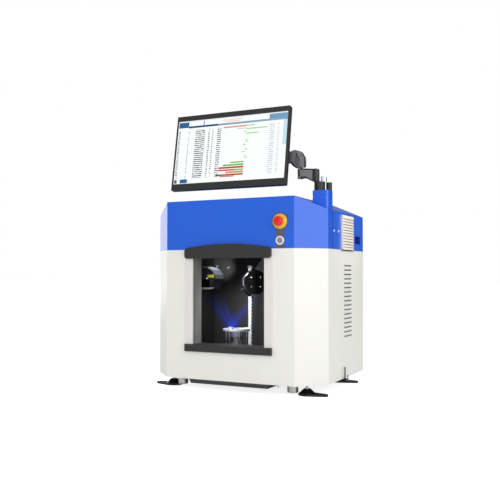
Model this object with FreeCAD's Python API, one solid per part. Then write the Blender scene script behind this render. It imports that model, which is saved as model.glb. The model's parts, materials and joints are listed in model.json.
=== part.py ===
import FreeCAD, Part
import math
import os

os.makedirs("parts", exist_ok=True)

# Driving dimensions in millimetres. X runs to the right, Y to the back and Z up.
# The origin is the middle of the four bench bolt holes, on the bench.

# Cabinet
cabinet_width = 800.0
cabinet_depth = 572.0
corner_cut = 104.5
bench_gap = 45.0
housing_height = 542.0
cover_height = 158.0
crown_rise = 50.0
rear_slope_run = 106.0
sheet = 3.0
base_lift = 5.0
base_thickness = 20.0
deck_thickness = 8.0
post_size = 30.0
post_corner = 3.0
fit_gap = 0.5
touch = 0.01

# Doorway, sill and trims
door_share = 0.415
door_travel = 358.0
sill_top = 191.0
sill_height = 30.0
sill_proud = 14.0
sill_edge = 2.0
threshold_thickness = 10.0
trim_reveal = 3.0
trim_thickness = 2.5
trim_edge = 1.0

# Sliding leaves, their guides and the handle bar
leaf_thickness = 3.0
leaf_overlap = 20.0
leaf_engagement = 9.0
leaf_flange = 4.0
guide_depth = 68.0
guide_width = 34.0
groove_depth = 12.0
groove_pitch = 8.0
first_groove = 4.0
guide_overrun = 12.0
guide_wall = 8.0
handle_end_height = 41.0
handle_rise = 18.5
handle_thickness = 14.0
handle_corner = 12.0
handle_edge = 3.0
handle_standoff = 3.5

# Vent row and filter fan on the right side
vent_count = 17
vent_pitch = 18.75
vent_width = 94.0
vent_height = 6.0
vent_lip = 2.0
vent_drop = 65.0
vent_from_rear = 223.0
fan_from_rear = 235.5
fan_rise = 73.5
fan_flange = 148.5
fan_cutout = 125.0
fan_flange_thickness = 3.0
fan_frame_depth = 42.0
fan_frame_wall = 2.5
fan_corner = 4.0
grille_border = 14.0
grille_depth = 7.0
slat_count = 10
slat_thickness = 5.0
slat_shadow = 1.0
slat_lip = 2.0
mat_thickness = 8.0
fan_body_depth = 25.0
fan_strut = 4.0
fan_ring_radius = 56.0
rotor_radius = 53.0
rotor_hub_radius = 20.0
blade_count = 7
blade_thickness = 1.6
blade_sweep = 12.0
blade_root = 4.0
blade_margin = 1.0
rotor_end_gap = 2.0

# Finger grips in the cover's sides
grip_width = 76.0
grip_height = 37.0
grip_depth = 22.0
grip_wall = 2.0
grip_from_rear = 82.0
grip_rise = 48.5

# Controls on the cover's front
control_shift = 11.75
plate_head_radius = 35.0
plate_width = 37.0
plate_thickness = 1.5
plate_rise = 2.0
estop_rise = 108.0
collar_radius = 30.5
collar_thickness = 3.0
collar_dome_radius = 21.0
collar_dome_height = 5.5
collar_dome_lean = 3.0
collar_edge = 1.0
mushroom_radius = 19.5
mushroom_height = 14.0
mushroom_travel = 4.5
mushroom_skirt = 5.0
mushroom_waist = 3.0
mushroom_brow = 4.0
stem_radius = 8.0
start_rise = 32.0
bezel_radius = 18.0
bezel_height = 5.0
bezel_edge = 1.5
button_radius = 10.5
button_travel = 2.0
button_proud = 1.0
button_crown = 0.5
contact_width = 30.0
contact_depth = 46.0
running_gap = 0.3

# Mast and monitor arm
mast_width = 70.0
mast_depth = 60.0
mast_corner = 10.0
mast_wall = 4.0
mast_rise = 29.0
mast_notch_gap = 1.5
post_shift_x = 14.0
post_shift_y = 1.0
cap_radius = 22.5
cap_height = 37.0
cap_edge = 1.2
cable_cap_radius = 12.0
cable_cap_height = 34.0
cable_cap_inset = 2.0
knob_radius = 5.0
knob_bearing = 18.0
knob_height = 23.0
knob_stem_radius = 2.5
knob_edge = 1.2
knob_clearance = 5.5
stem_rod_radius = 1.6
stem_rod_height = 22.0
arm_post_radius = 7.0
arm_post_length = 44.0
hub_radius = 13.0
lower_link_length = 68.5
lower_link_lift = 20.0
lower_link_height = 43.0
link_width = 24.0
link_edge = 4.0
elbow_pin_radius = 6.5
elbow_pin_rise = 28.0
elbow_pin_foot = 3.0
pin_clearance = 0.05
arm_heading = 8.5
lift_offset = 19.0
lift_rise = 48.0
knuckle_radius = 26.0
knuckle_width = 36.0
knuckle_foot = 6.0
tongue_width = 16.0
tongue_radius = 22.0
tongue_clearance = 2.0
lift_pin_radius = 6.0
tension_radius = 15.0
tension_length = 36.0
tension_back = 7.5
tension_drop = 32.5
tension_cap_thickness = 5.0
tension_cap_rim = 1.0
upper_link_length = 258.0
upper_link_width = 36.0
upper_link_height = 50.0
upper_link_tip_height = 34.0
upper_link_edge = 5.0
upper_link_gap = 6.0
neck_overlap = 4.0
neck_ratio = 1.6
knee_ratio = 0.4
root_ratio = 0.6
pin_foot_ratio = 0.85
web_ratio = 0.7
head_reach = 34.0
head_radius = 14.0
head_height = 44.0
head_gap = 1.0
pan_pin_radius = 6.0
pan_height = 33.0
pan_roof = 2.0
pan_lug_half = 16.0
pan_lug_radius = 8.0

# Monitor
monitor_width = 540.0
monitor_height = 342.0
monitor_edge = 22.0
monitor_corner = 5.0
bezel_top = 24.0
bezel_bottom = 29.0
bezel_side = 9.0
bezel_depth = 7.0
bezel_lip = 1.5
monitor_front_edge = 1.2
screen_thickness = 5.0
monitor_wall = 2.5
bulge_width = 330.0
bulge_height = 210.0
bulge_depth = 20.0
back_slot_count = 14
back_slot_pitch = 18.0
back_slot_width = 10.0
back_slot_height = 10.0
monitor_tilt = 10.0
monitor_yaw = 1.5
monitor_reach = 104.0
monitor_rise = 45.0
tilt_axis_back = 66.0
tilt_pin_radius = 5.0
tilt_pin_half = 32.0
mount_plate = 120.0
mount_plate_thickness = 3.0
mount_spacing = 100.0
mount_hole_radius = 2.2
mount_corner = 6.0
ear_gap = 3.0
ear_thickness = 10.0
ear_radius = 9.0

# Chamber
liner_sheet = 2.0
liner_side_gap = 70.0
liner_door_margin = 14.0
liner_rear_gap = 92.0
table_shift = 75.0
table_behind = 153.0
table_radius = 95.0
table_height = 68.0
table_wall = 8.0
table_waist = 12.0
table_flange = 10.0
platter_radius = 90.0
platter_thickness = 20.0
spindle_radius = 18.0
platter_edge = 1.5
platter_slot = 8.0
fixture_base_radius = 70.0
fixture_base_thickness = 8.0
fixture_post_count = 6
fixture_post_circle = 47.0
fixture_post_radius = 4.0
fixture_ring_outer = 60.0
fixture_ring_inner = 34.0
fixture_ring_thickness = 8.0
fixture_height = 82.5
jaw_count = 3
jaw_height = 5.0
fixture_hub_radius = 24.0
fixture_edge = 1.0
pilot_step = 12.0
pilot_neck_radius = 14.0
pilot_neck_length = 16.0
pilot_slope = 6.0
pilot_tip_radius = 18.0
pilot_below_ring = 2.0
post_collar_height = 6.0
post_collar_ratio = 1.7
jaw_width = 10.0
jaw_margin = 2.0
jaw_bearing = 30.0
post_bearing = 15.0
column_shift = 17.0
column_width = 16.0
column_depth = 12.0
column_below_deck = 55.0
column_cap_width = 22.0
column_cap_height = 11.0
column_hole_pitch = 48.0
column_hole_radius = 3.5
column_foot_ratio = 2.5
column_foot_height = 8.0

# Sensor heads
left_tip_shift = 44.0
left_head_length = 140.0
left_head_gap = 37.0
left_head_depth = 84.0
left_head_drop = 63.0
left_head_height = 104.0
left_window_height = 34.0
left_rim_height = 9.0
left_brow_run = 44.0
left_brow_drop = 14.0
left_nose_run = 18.0
left_nose_drop = 34.0
left_tip_drop = 52.0
left_tip_lean = 4.0
left_foot_lean = 24.0
head_corner = 8.0
left_pivot_radius = 9.0
left_pivot_drop = 34.0
left_arm_size = 34.0
left_arm_cheek = 14.0
left_pivot_depth = 16.0
left_arm_foot = 6.0
left_arm_foot_ratio = 1.6
left_lens_radius = 12.0
window_depth = 10.0
window_margin = 6.0
left_lens_place = 0.593
left_lens_drop = 4.0
right_head_shift = 105.0
right_head_behind = 131.0
right_head_drop = 129.0
right_head_radius = 53.0
right_arm_heel_ratio = 0.45
right_arm_toe_ratio = 0.4
right_arm_sag_ratio = 0.2
right_arm_near_ratio = 1.07
right_arm_far_ratio = 2.1
right_eye_ratio = 2.2
right_head_depth = 56.0
right_head_turn = 37.0
right_drum_edge = 4.0
right_pivot_depth = 14.0
right_cover_thickness = 7.0
right_cover_edge = 2.5
right_nose_width = 44.0
right_nose_reach = 64.0
right_nose_angle = 52.0
right_arm_thickness = 22.0
lens_radius = 15.0
lens_thickness = 6.0

# Feet and what hangs under the cabinet
foot_inset_x = 86.0
foot_inset_y = 90.0
bolt_reach = 72.0
foot_base_radius = 36.0
foot_lug_radius = 16.0
foot_base_thickness = 8.0
foot_hub_radius = 24.0
foot_hub_height = 18.0
foot_neck_radius = 14.4
foot_hub_margin = 3.0
foot_socket = 8.0
bench_hole_radius = 4.5
stud_radius = 6.0
stud_nut_radius = 10.5
stud_nut_height = 8.0
boss_inset_x = 142.0
boss_inset_y = 74.0
boss_radius = 22.0
boss_height = 40.0
boss_edge = 1.5
tray_gap = 44.5
tray_depth = 180.0
tray_drop = 23.0
tray_taper = 14.0
tray_wall = 3.0
peg_inset_x = 178.0
peg_radius = 4.0
peg_drop = 14.0
bracket_from_rear = 274.0
bracket_width = 28.0
bracket_out = 14.0
bracket_thickness = 4.0
bracket_drop = 5.0
bracket_lip = 3.0
bracket_lip_rise = 8.0
side_rod_radius = 2.5
side_rod_height = 48.0

# Rear panel and what stands in the right-hand bay
panel_margin = 48.0
panel_thickness = 2.5
panel_corner = 8.0
screw_radius = 4.5
screw_head = 2.5
inlet_width = 60.0
inlet_height = 48.0
inlet_depth = 30.0
inlet_flange = 6.0
inlet_flange_thickness = 3.0
inlet_corner = 4.0
inlet_well_depth = 16.0
inlet_wall = 10.0
inlet_pin = 4.0
inlet_pin_pitch = 10.0
cover_screw_shares = (0.45, 0.8)
cover_screw_rise = 76.0
bay_gap = 14.0
computer_depth = 230.0
computer_height = 250.0
supply_depth = 150.0
supply_height = 110.0
supply_corner = 3.0
rib_count = 9
rib_share = 0.4

# Places that follow from the sizes above
half_width = cabinet_width / 2
front_y = -cabinet_depth / 2
rear_y = cabinet_depth / 2
seam_z = bench_gap + housing_height
eaves_z = seam_z + cover_height
crown_z = eaves_z + crown_rise
base_z = bench_gap + base_lift
base_top = base_z + base_thickness
deck_z = seam_z - deck_thickness
half_door = cabinet_width * door_share / 2
half_sill = half_door + guide_width
door_open_z = sill_top + fit_gap + door_travel
opening_top = door_open_z + leaf_flange + 2 * fit_gap
leaf_height = door_travel / 2 + leaf_overlap
guide_front = front_y + sheet
guide_rear = guide_front + guide_depth
guide_top = door_open_z + leaf_height + guide_overrun
vent_top = seam_z - vent_drop
vent_middle = rear_y - vent_from_rear
fan_middle_y = rear_y - fan_from_rear
fan_middle_z = seam_z + fan_rise
grip_middle_y = rear_y - grip_from_rear
grip_middle_z = seam_z + grip_rise
control_x = (half_sill + half_width - corner_cut) / 2 - control_shift
plate_bottom = seam_z + plate_rise
estop_z = seam_z + estop_rise
start_z = seam_z + start_rise
mast_top = crown_z + mast_rise
mast_x = half_width - mast_width / 2
mast_front = front_y + corner_cut + mast_notch_gap
mast_y = mast_front + mast_depth / 2
cap_x = half_width - mast_width + cap_radius
arm_x = cap_x - post_shift_x
arm_y = mast_y - post_shift_y
post_base_z = mast_top + cap_height
elbow_x = arm_x - lower_link_length
lower_link_bottom = post_base_z + lower_link_lift
lower_link_top = lower_link_bottom + lower_link_height
lift_height = lower_link_top + lift_rise
monitor_centre_z = lift_height + monitor_rise
liner_left = -half_width + liner_side_gap
liner_right = half_door + liner_door_margin
liner_rear = rear_y - liner_rear_gap
table_x = -table_shift
table_y = guide_rear + table_behind
table_top = base_top + liner_sheet + table_height
platter_z = table_top + fit_gap
platter_top = platter_z + platter_thickness
fixture_ring_top = platter_top + fixture_height
column_x = table_x - column_shift
column_y = (table_y + table_radius + liner_rear - liner_sheet) / 2
column_top = deck_z - column_below_deck
left_head_tip_x = table_x - left_tip_shift
left_head_middle_y = guide_rear + left_head_gap + left_head_depth / 2
left_head_top = deck_z - left_head_drop
right_head_x = table_x + right_head_shift
right_head_y = guide_rear + right_head_behind
right_head_z = deck_z - right_head_drop
foot_x = half_width - foot_inset_x
foot_y = rear_y - foot_inset_y
boss_x = half_width - boss_inset_x
boss_y = front_y + boss_inset_y
tray_half = boss_x - boss_radius - tray_gap
peg_x = half_width - peg_inset_x
bracket_y = rear_y - bracket_from_rear
inlet_x = half_width - panel_margin - inlet_width
inlet_z = bench_gap + panel_margin + inlet_height


def vec(x, y, z):
    return FreeCAD.Vector(x, y, z)


def block(x_span, y_span, z_span):
    low = vec(x_span[0], y_span[0], z_span[0])
    return Part.makeBox(x_span[1] - x_span[0], y_span[1] - y_span[0], z_span[1] - z_span[0], low)


def centred(x, width):
    return (x - width / 2, x + width / 2)


def rod(x, y, z, radius, length, direction=(0, 0, 1)):
    return Part.makeCylinder(radius, length, vec(x, y, z), vec(*direction))


def face_of(points):
    corners = [vec(*point) for point in points]
    return Part.Face(Part.makePolygon(corners + corners[:1]))


def prism_z(points, low, high):
    return face_of([(x, y, low) for x, y in points]).extrude(vec(0, 0, high - low))


def prism_y(points, low, high):
    return face_of([(x, low, z) for x, z in points]).extrude(vec(0, high - low, 0))


def prism_x(points, low, high):
    return face_of([(low, y, z) for y, z in points]).extrude(vec(high - low, 0, 0))


def turned(points, x, y):
    """Revolve a profile of (radius, z) points about a vertical line."""
    profile = face_of([(x + radius, y, z) for radius, z in points])
    return profile.revolve(vec(x, y, 0), vec(0, 0, 1), 360)


def joined(shapes):
    return shapes[0].fuse(shapes[1:]).removeSplitter()


def along(edge, axis):
    if not isinstance(edge.Curve, Part.Line):
        return False
    return edge.Curve.Direction.cross(vec(*axis)).Length < touch


def round_along(shape, axis, radius):
    return shape.makeFillet(radius, [edge for edge in shape.Edges if along(edge, axis)])


def round_where(shape, radius, chosen):
    return shape.makeFillet(radius, [edge for edge in shape.Edges if chosen(edge)])


def bevel_where(shape, size, chosen):
    return shape.makeChamfer(size, [edge for edge in shape.Edges if chosen(edge)])


def mirrored(shape):
    return shape.mirror(vec(0, 0, 0), vec(1, 0, 0))


def moved(shape, x, y, z):
    shape = shape.copy()
    shape.translate(vec(x, y, z))
    return shape


def spun(shape, centre, axis, angle):
    shape = shape.copy()
    shape.rotate(vec(*centre), vec(*axis), angle)
    return shape


def save(node, shape):
    solids = shape.Solids
    result = solids[0] if len(solids) == 1 else Part.makeCompound(solids)
    result.exportStep("parts/" + node + ".step")


# Cabinet shell

def outline(inset):
    """The cabinet's plan: a rectangle with its two front corners cut at 45 degrees."""
    corner = inset * math.tan(math.radians(22.5))
    side = half_width - inset
    front_half = half_width - corner_cut - corner
    side_front = front_y + corner_cut + corner
    return [
        (-side, rear_y - inset),
        (-side, side_front),
        (-front_half, front_y + inset),
        (front_half, front_y + inset),
        (side, side_front),
        (side, rear_y - inset),
    ]


def roofed(inset, low):
    """The cover's outside, or its inside when inset, with slopes at both sides and the rear."""
    body = prism_z(outline(inset), low, crown_z - inset)
    slope = math.hypot(corner_cut, crown_rise) / corner_cut
    drop = inset * slope
    edge = eaves_z - drop
    beyond = crown_z + crown_rise
    run = corner_cut
    side_cut = [
        (half_width + run, edge - crown_rise),
        (half_width + run, beyond),
        (half_width - 2 * run, beyond),
        (half_width - 2 * run, edge + 2 * crown_rise),
    ]
    wedge = prism_y(side_cut, front_y - run, rear_y + run)
    rear_slope = math.hypot(rear_slope_run, crown_rise) / rear_slope_run
    rear_edge = eaves_z - inset * rear_slope
    rear_cut = [
        (rear_y + rear_slope_run, rear_edge - crown_rise),
        (rear_y + rear_slope_run, beyond),
        (rear_y - 2 * rear_slope_run, beyond),
        (rear_y - 2 * rear_slope_run, rear_edge + 2 * crown_rise),
    ]
    rear_wedge = prism_x(rear_cut, -cabinet_width, cabinet_width)
    return body.cut(wedge).cut(mirrored(wedge)).cut(rear_wedge)


def mast_plan(grow, low, high):
    x_span = centred(mast_x, mast_width + 2 * grow)
    y_span = centred(mast_y, mast_depth + 2 * grow)
    return round_along(block(x_span, y_span, (low, high)), (0, 0, 1), mast_corner + grow)


def vent_heights():
    return [vent_top - index * vent_pitch for index in range(vent_count)]


def panel_spans():
    x_span = (-half_width + panel_margin, half_width - panel_margin)
    z_span = (bench_gap + panel_margin / 2, seam_z - panel_margin / 2)
    return x_span, z_span


def lower_housing():
    shell = prism_z(outline(0), bench_gap, seam_z).cut(prism_z(outline(sheet), bench_gap, seam_z))
    doorway_z = (sill_top - threshold_thickness, opening_top)
    shell = shell.cut(block((-half_door, half_door), (front_y, guide_front), doorway_z))
    x_span, z_span = panel_spans()
    rear_x = (x_span[0] + panel_margin / 2, x_span[1] - panel_margin / 2)
    rear_z = (z_span[0] + panel_margin / 2, z_span[1] - panel_margin / 2)
    shell = shell.cut(block(rear_x, (rear_y - sheet, rear_y), rear_z))
    slots = []
    lips = []
    y_span = centred(vent_middle, vent_width)
    for z in vent_heights():
        slots.append(block((half_width - sheet, half_width), y_span, centred(z, vent_height)))
        lip_low = z + vent_height / 2
        lip = [(half_width, lip_low), (half_width + vent_lip, lip_low - vent_lip),
               (half_width, lip_low + vent_lip)]
        lips.append(prism_y(lip, y_span[0], y_span[1]))
    shell = shell.fuse(lips).cut(Part.makeCompound(slots))
    return shell


def top_cover():
    cover = roofed(0, seam_z).cut(roofed(sheet, seam_z))
    cover = cover.cut(mast_plan(mast_notch_gap, seam_z, crown_z + crown_rise))
    wall = (half_width - sheet, half_width)
    fan_y = centred(fan_middle_y, fan_cutout)
    cover = cover.cut(block(wall, fan_y, centred(fan_middle_z, fan_cutout)))
    grip_y = centred(grip_middle_y, grip_width)
    grip_z = centred(grip_middle_z, grip_height)
    for side in (wall, (-wall[1], -wall[0])):
        cover = cover.cut(block(side, grip_y, grip_z))
    for z, radius in ((estop_z, stem_radius), (start_z, button_radius)):
        cover = cover.cut(rod(control_x, front_y - sheet, z, radius + fit_gap, 3 * sheet, (0, 1, 0)))
    return cover


def rear_panel():
    x_span, z_span = panel_spans()
    plate = block(x_span, (rear_y, rear_y + panel_thickness), z_span)
    plate = round_along(plate, (0, 1, 0), panel_corner)
    inlet_x_span = centred(inlet_x, inlet_width)
    inlet_z_span = centred(inlet_z, inlet_height)
    return plate.cut(block(inlet_x_span, (rear_y, rear_y + panel_thickness), inlet_z_span))


def base_plate():
    plate = prism_z(outline(sheet), base_z, base_top)
    for x, y in foot_places():
        plate = plate.cut(rod(x, y, base_z, stud_radius + running_gap, base_thickness))
    return plate


def upper_frame():
    """Four square posts welded under the deck plate that carries the cover and the mast."""
    x = half_width - sheet - post_size / 2
    posts = []
    for side in (-1, 1):
        for y in (front_y + corner_cut + post_size, rear_y - sheet - post_size / 2):
            post = block(centred(side * x, post_size), centred(y, post_size), (base_top, deck_z))
            posts.append(round_along(post, (0, 0, 1), post_corner))
    deck = prism_z(outline(sheet), deck_z, seam_z)
    slot_half = half_sill + fit_gap
    deck = deck.cut(block((-slot_half, slot_half), (guide_front, guide_rear + fit_gap), (deck_z, seam_z)))
    return joined([deck] + posts)


def side_grip():
    """A recessed cup with a flange, set into the cover's side wall from inside."""
    outer_x = (half_width - grip_depth, half_width)
    cup = block(outer_x, centred(grip_middle_y, grip_width), centred(grip_middle_z, grip_height))
    hollow = block((half_width - grip_depth + grip_wall, half_width),
                   centred(grip_middle_y, grip_width - 2 * grip_wall),
                   centred(grip_middle_z, grip_height - 2 * grip_wall))
    flange = block((half_width - sheet - grip_wall, half_width - sheet),
                   centred(grip_middle_y, grip_width + 4 * grip_wall),
                   centred(grip_middle_z, grip_height + 4 * grip_wall))
    return cup.fuse(flange).cut(hollow)


# Doorway

def door_guide():
    """The right-hand guide: an extrusion with one groove for each leaf."""
    guide = block((half_door, half_sill), (guide_front, guide_rear), (base_top, guide_top))
    for y in groove_places():
        groove_x = (half_door, half_door + groove_depth)
        groove_y = centred(y, leaf_thickness + 2 * fit_gap)
        guide = guide.cut(block(groove_x, groove_y, (sill_top - fit_gap, guide_top)))
    pocket_x = (half_door + groove_depth + guide_wall, half_sill)
    pocket_y = (guide_front + guide_wall, guide_rear - guide_wall)
    return guide.cut(block(pocket_x, pocket_y, (base_top, guide_top)))


def groove_places():
    first = guide_front + first_groove + leaf_thickness / 2
    return [first, first + groove_pitch]


def door_leaf(y, z):
    x = half_door + leaf_engagement
    return block((-x, x), centred(y, leaf_thickness), (z, z + leaf_height))


def door_leaf_lower():
    """The front leaf, with the flange at its foot that carries the handle bar."""
    y = groove_places()[0]
    handle_back = front_y - handle_standoff
    flange_half = half_door - leaf_engagement
    flange = block((-flange_half, flange_half), (handle_back, y), (door_open_z, door_open_z + leaf_flange))
    return joined([door_leaf(y, door_open_z), flange])


def door_leaf_upper():
    y = groove_places()[1]
    rib_half = half_door - leaf_engagement
    top = door_open_z + leaf_height
    rib = block((-rib_half, rib_half), (y, y + groove_pitch), (top - leaf_flange, top))
    return joined([door_leaf(y, door_open_z), rib])


def door_handle():
    """The grip bar: flat below, arched above, with rounded corners."""
    half = half_sill
    low = door_open_z
    shoulder = low + handle_end_height
    corners = [vec(half, 0, shoulder), vec(0, 0, shoulder + handle_rise), vec(-half, 0, shoulder)]
    arch = Part.Arc(*corners).toShape()
    rest = Part.makePolygon([corners[2], vec(-half, 0, low), vec(half, 0, low), corners[0]])
    bar = Part.Face(Part.Wire([arch] + rest.Edges)).extrude(vec(0, handle_thickness, 0))
    bar = round_along(bar, (0, 1, 0), handle_corner)
    bar = round_where(bar, handle_edge, lambda edge: edge.BoundBox.YMax < touch)
    return moved(bar, 0, front_y - handle_standoff - handle_thickness, 0)


def door_sill():
    bar = block((-half_sill, half_sill), (front_y - sill_proud, front_y), (sill_top - sill_height, sill_top))
    bar = round_where(bar, sill_edge, lambda edge: edge.BoundBox.YMax < front_y - sill_proud + touch)
    inner = block((-half_door, half_door), (front_y, guide_rear), (sill_top - threshold_thickness, sill_top))
    return joined([bar, inner])


def door_trims():
    strip_x = (half_door, half_sill + trim_reveal)
    strip = block(strip_x, (front_y - trim_thickness, front_y), (sill_top, seam_z))
    strip = round_along(strip, (0, 0, 1), trim_edge)
    return Part.makeCompound([strip, mirrored(strip)])


# Controls

def control_plate():
    plate_x = centred(control_x, plate_width)
    plate = block(plate_x, (front_y - plate_thickness, front_y), (plate_bottom, estop_z))
    head = rod(control_x, front_y - plate_thickness, estop_z, plate_head_radius, plate_thickness, (0, 1, 0))
    plate = joined([plate, head])
    for z, radius in ((estop_z, stem_radius), (start_z, button_radius)):
        plate = plate.cut(rod(control_x, front_y - sheet, z, radius + fit_gap, 2 * sheet, (0, 1, 0)))
    return plate


def about_front(points, z):
    """Revolve (radius, y) points about a line along Y through the control plate."""
    profile = face_of([(control_x + radius, y, z) for radius, y in points])
    return profile.revolve(vec(control_x, 0, z), vec(0, 1, 0), 360)


def estop_collar():
    back = front_y - plate_thickness
    face = back - collar_thickness
    dome = face - collar_dome_height
    bore = stem_radius + fit_gap
    profile = [(bore, back), (collar_radius, back), (collar_radius, face + collar_edge),
               (collar_radius - collar_edge, face), (collar_dome_radius, face),
               (collar_dome_radius - collar_dome_lean, dome), (bore, dome)]
    return about_front(profile, estop_z)


def mushroom_back():
    return front_y - plate_thickness - collar_thickness - collar_dome_height - mushroom_travel - running_gap


def estop_stem():
    back = front_y + sheet
    front = mushroom_back()
    return rod(control_x, front, estop_z, stem_radius, back - front, (0, 1, 0))


def estop_head():
    """The red mushroom: a domed cap with a waisted skirt."""
    back = mushroom_back() - running_gap
    front = back - mushroom_height
    waist = mushroom_radius - mushroom_waist
    profile = [(0, back), (waist, back), (mushroom_radius, back - mushroom_skirt),
               (mushroom_radius, front + mushroom_brow), (waist, front + mushroom_brow / 4),
               (waist - mushroom_brow, front), (0, front)]
    return about_front(profile, estop_z)


def start_bezel():
    back = front_y - plate_thickness
    front = back - bezel_height
    bore = button_radius + running_gap
    profile = [(bore, back), (bezel_radius, back), (bezel_radius, front + bezel_edge),
               (bezel_radius - bezel_edge, front), (bore + bezel_edge, front), (bore, front + bezel_edge)]
    return about_front(profile, start_z)


def start_button():
    front = front_y - plate_thickness - bezel_height - button_proud
    back = front_y + sheet
    profile = [(0, back), (button_radius, back), (button_radius, front + bezel_edge),
               (button_radius - bezel_edge, front), (0, front - button_crown)]
    return about_front(profile, start_z)


def contact_blocks():
    blocks = []
    for z, travel in ((estop_z, mushroom_travel), (start_z, button_travel)):
        near = front_y + sheet
        body_x = centred(control_x, contact_width)
        body = block(body_x, (near, near + contact_depth), centred(z, contact_width))
        well = rod(control_x, near, z, stem_radius + button_radius / 2, travel + running_gap, (0, 1, 0))
        blocks.append(body.cut(well))
    return Part.makeCompound(blocks)


# Filter fan

def fan_square(size, low, high):
    return block((low, high), centred(fan_middle_y, size), centred(fan_middle_z, size))


def fan_frame():
    size = fan_cutout - 2 * fit_gap
    inner = size - 2 * fan_frame_wall
    low = half_width - fan_frame_depth
    sleeve = fan_square(size, low, half_width)
    flange = fan_square(fan_flange, half_width, half_width + fan_flange_thickness)
    flange = round_along(flange, (1, 0, 0), fan_corner)
    return joined([sleeve, flange]).cut(fan_square(inner, low, half_width + fan_flange_thickness))


def fan_grille():
    """The louvred cover: a rounded frame with slats that lean down and out."""
    low = half_width + fan_flange_thickness
    high = low + grille_depth
    frame = round_along(fan_square(fan_flange, low, high), (1, 0, 0), fan_corner)
    inner = fan_flange - 2 * grille_border
    frame = frame.cut(fan_square(inner, low, high))
    pitch = inner / slat_count
    slats = []
    for index in range(slat_count):
        top = fan_middle_z + inner / 2 - index * pitch
        foot = top - pitch + slat_shadow
        section = [(low, top), (high, top - pitch + slat_thickness), (high, foot), (high - slat_lip, foot),
                   (low, top - slat_thickness)]
        y_span = centred(fan_middle_y, inner)
        slats.append(prism_y(section, y_span[0], y_span[1]))
    return joined([frame] + slats)


def filter_mat():
    size = fan_cutout - 2 * fit_gap - 2 * fan_frame_wall
    high = half_width + fan_flange_thickness
    return fan_square(size, high - mat_thickness, high)


def fan_body():
    """The axial fan's square housing, with its motor seat on four struts."""
    size = fan_cutout - 2 * fit_gap - 2 * fan_frame_wall
    low = half_width - fan_frame_depth
    high = low + fan_body_depth
    housing = fan_square(size, low, high)
    housing = housing.cut(rod(low, fan_middle_y, fan_middle_z, fan_ring_radius, fan_body_depth, (1, 0, 0)))
    strut = fan_strut
    cross = fan_square(size, low, low + strut)
    keep_y = block((low, low + strut), centred(fan_middle_y, size), centred(fan_middle_z, strut))
    keep_z = block((low, low + strut), centred(fan_middle_y, strut), centred(fan_middle_z, size))
    cross = cross.common(keep_y.fuse(keep_z))
    seat = rod(low, fan_middle_y, fan_middle_z, rotor_hub_radius, strut, (1, 0, 0))
    return joined([housing, cross, seat])


def fan_rotor():
    low = half_width - fan_frame_depth + fan_strut + running_gap
    length = fan_body_depth - fan_strut - rotor_end_gap
    hub = rod(low, fan_middle_y, fan_middle_z, rotor_hub_radius, length, (1, 0, 0))
    blades = []
    start = rotor_hub_radius - blade_root
    reach = rotor_radius - start
    near = fan_middle_y - blade_sweep
    far = fan_middle_y + blade_sweep
    front = low + blade_margin
    back = low + length - blade_margin
    lean = [(near, front), (near + blade_thickness, front), (far, back), (far - blade_thickness, back)]
    corners = [(x, y, fan_middle_z + start) for y, x in lean]
    for index in range(blade_count):
        blade = face_of(corners).extrude(vec(0, 0, reach))
        blades.append(spun(blade, (0, fan_middle_y, fan_middle_z), (1, 0, 0), index * 360 / blade_count))
    return joined([hub] + blades)


# Mast and arm

def mast_tube():
    tube = mast_plan(0, seam_z, mast_top)
    inner = block(centred(mast_x, mast_width - 2 * mast_wall), centred(mast_y, mast_depth - 2 * mast_wall),
                  (seam_z, mast_top - mast_wall))
    return tube.cut(round_along(inner, (0, 0, 1), mast_corner - mast_wall))


def mast_cap():
    """The round head on the mast, in one piece with the post that the arm turns on."""
    profile = [(0, mast_top), (cap_radius, mast_top), (cap_radius, post_base_z - cap_edge),
               (cap_radius - cap_edge, post_base_z), (0, post_base_z)]
    cap = turned(profile, cap_x, mast_y).cut(knob_stem(pin_clearance))
    post = rod(arm_x, arm_y, mast_top, arm_post_radius, cap_height + arm_post_length)
    return joined([cap, post])


def knob_place():
    reach = hub_radius + knob_radius + knob_clearance
    bearing = math.radians(knob_bearing)
    return arm_x + reach * math.cos(bearing), arm_y + reach * math.sin(bearing)


def knob_stem(grow):
    x, y = knob_place()
    return rod(x, y, post_base_z - knob_height / 2, knob_stem_radius + grow, knob_height / 2)


def clamp_knob():
    x, y = knob_place()
    head_z = post_base_z + knob_height / 3
    shank = rod(x, y, post_base_z, knob_stem_radius, knob_height / 3)
    head = rod(x, y, head_z, knob_radius, knob_height * 2 / 3)
    head = bevel_where(head, knob_edge, lambda edge: edge.BoundBox.ZMin > head_z + knob_edge)
    return joined([knob_stem(0), shank, head])


def cable_cap_place():
    x = half_width - cable_cap_radius - cable_cap_inset / 4
    return x, mast_front + mast_depth - cable_cap_radius - cable_cap_inset


def cable_cap():
    """The small cap beside it, with the thin stem that stands on its rim."""
    x, y = cable_cap_place()
    high = mast_top + cable_cap_height
    profile = [(0, mast_top), (cable_cap_radius, mast_top), (cable_cap_radius, high - cap_edge),
               (cable_cap_radius - cap_edge, high), (0, high)]
    offset = cable_cap_radius - cable_cap_inset
    stem = rod(x - offset, y - offset / 3, high - cap_edge, stem_rod_radius, stem_rod_height + cap_edge)
    return joined([turned(profile, x, y), stem])


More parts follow.
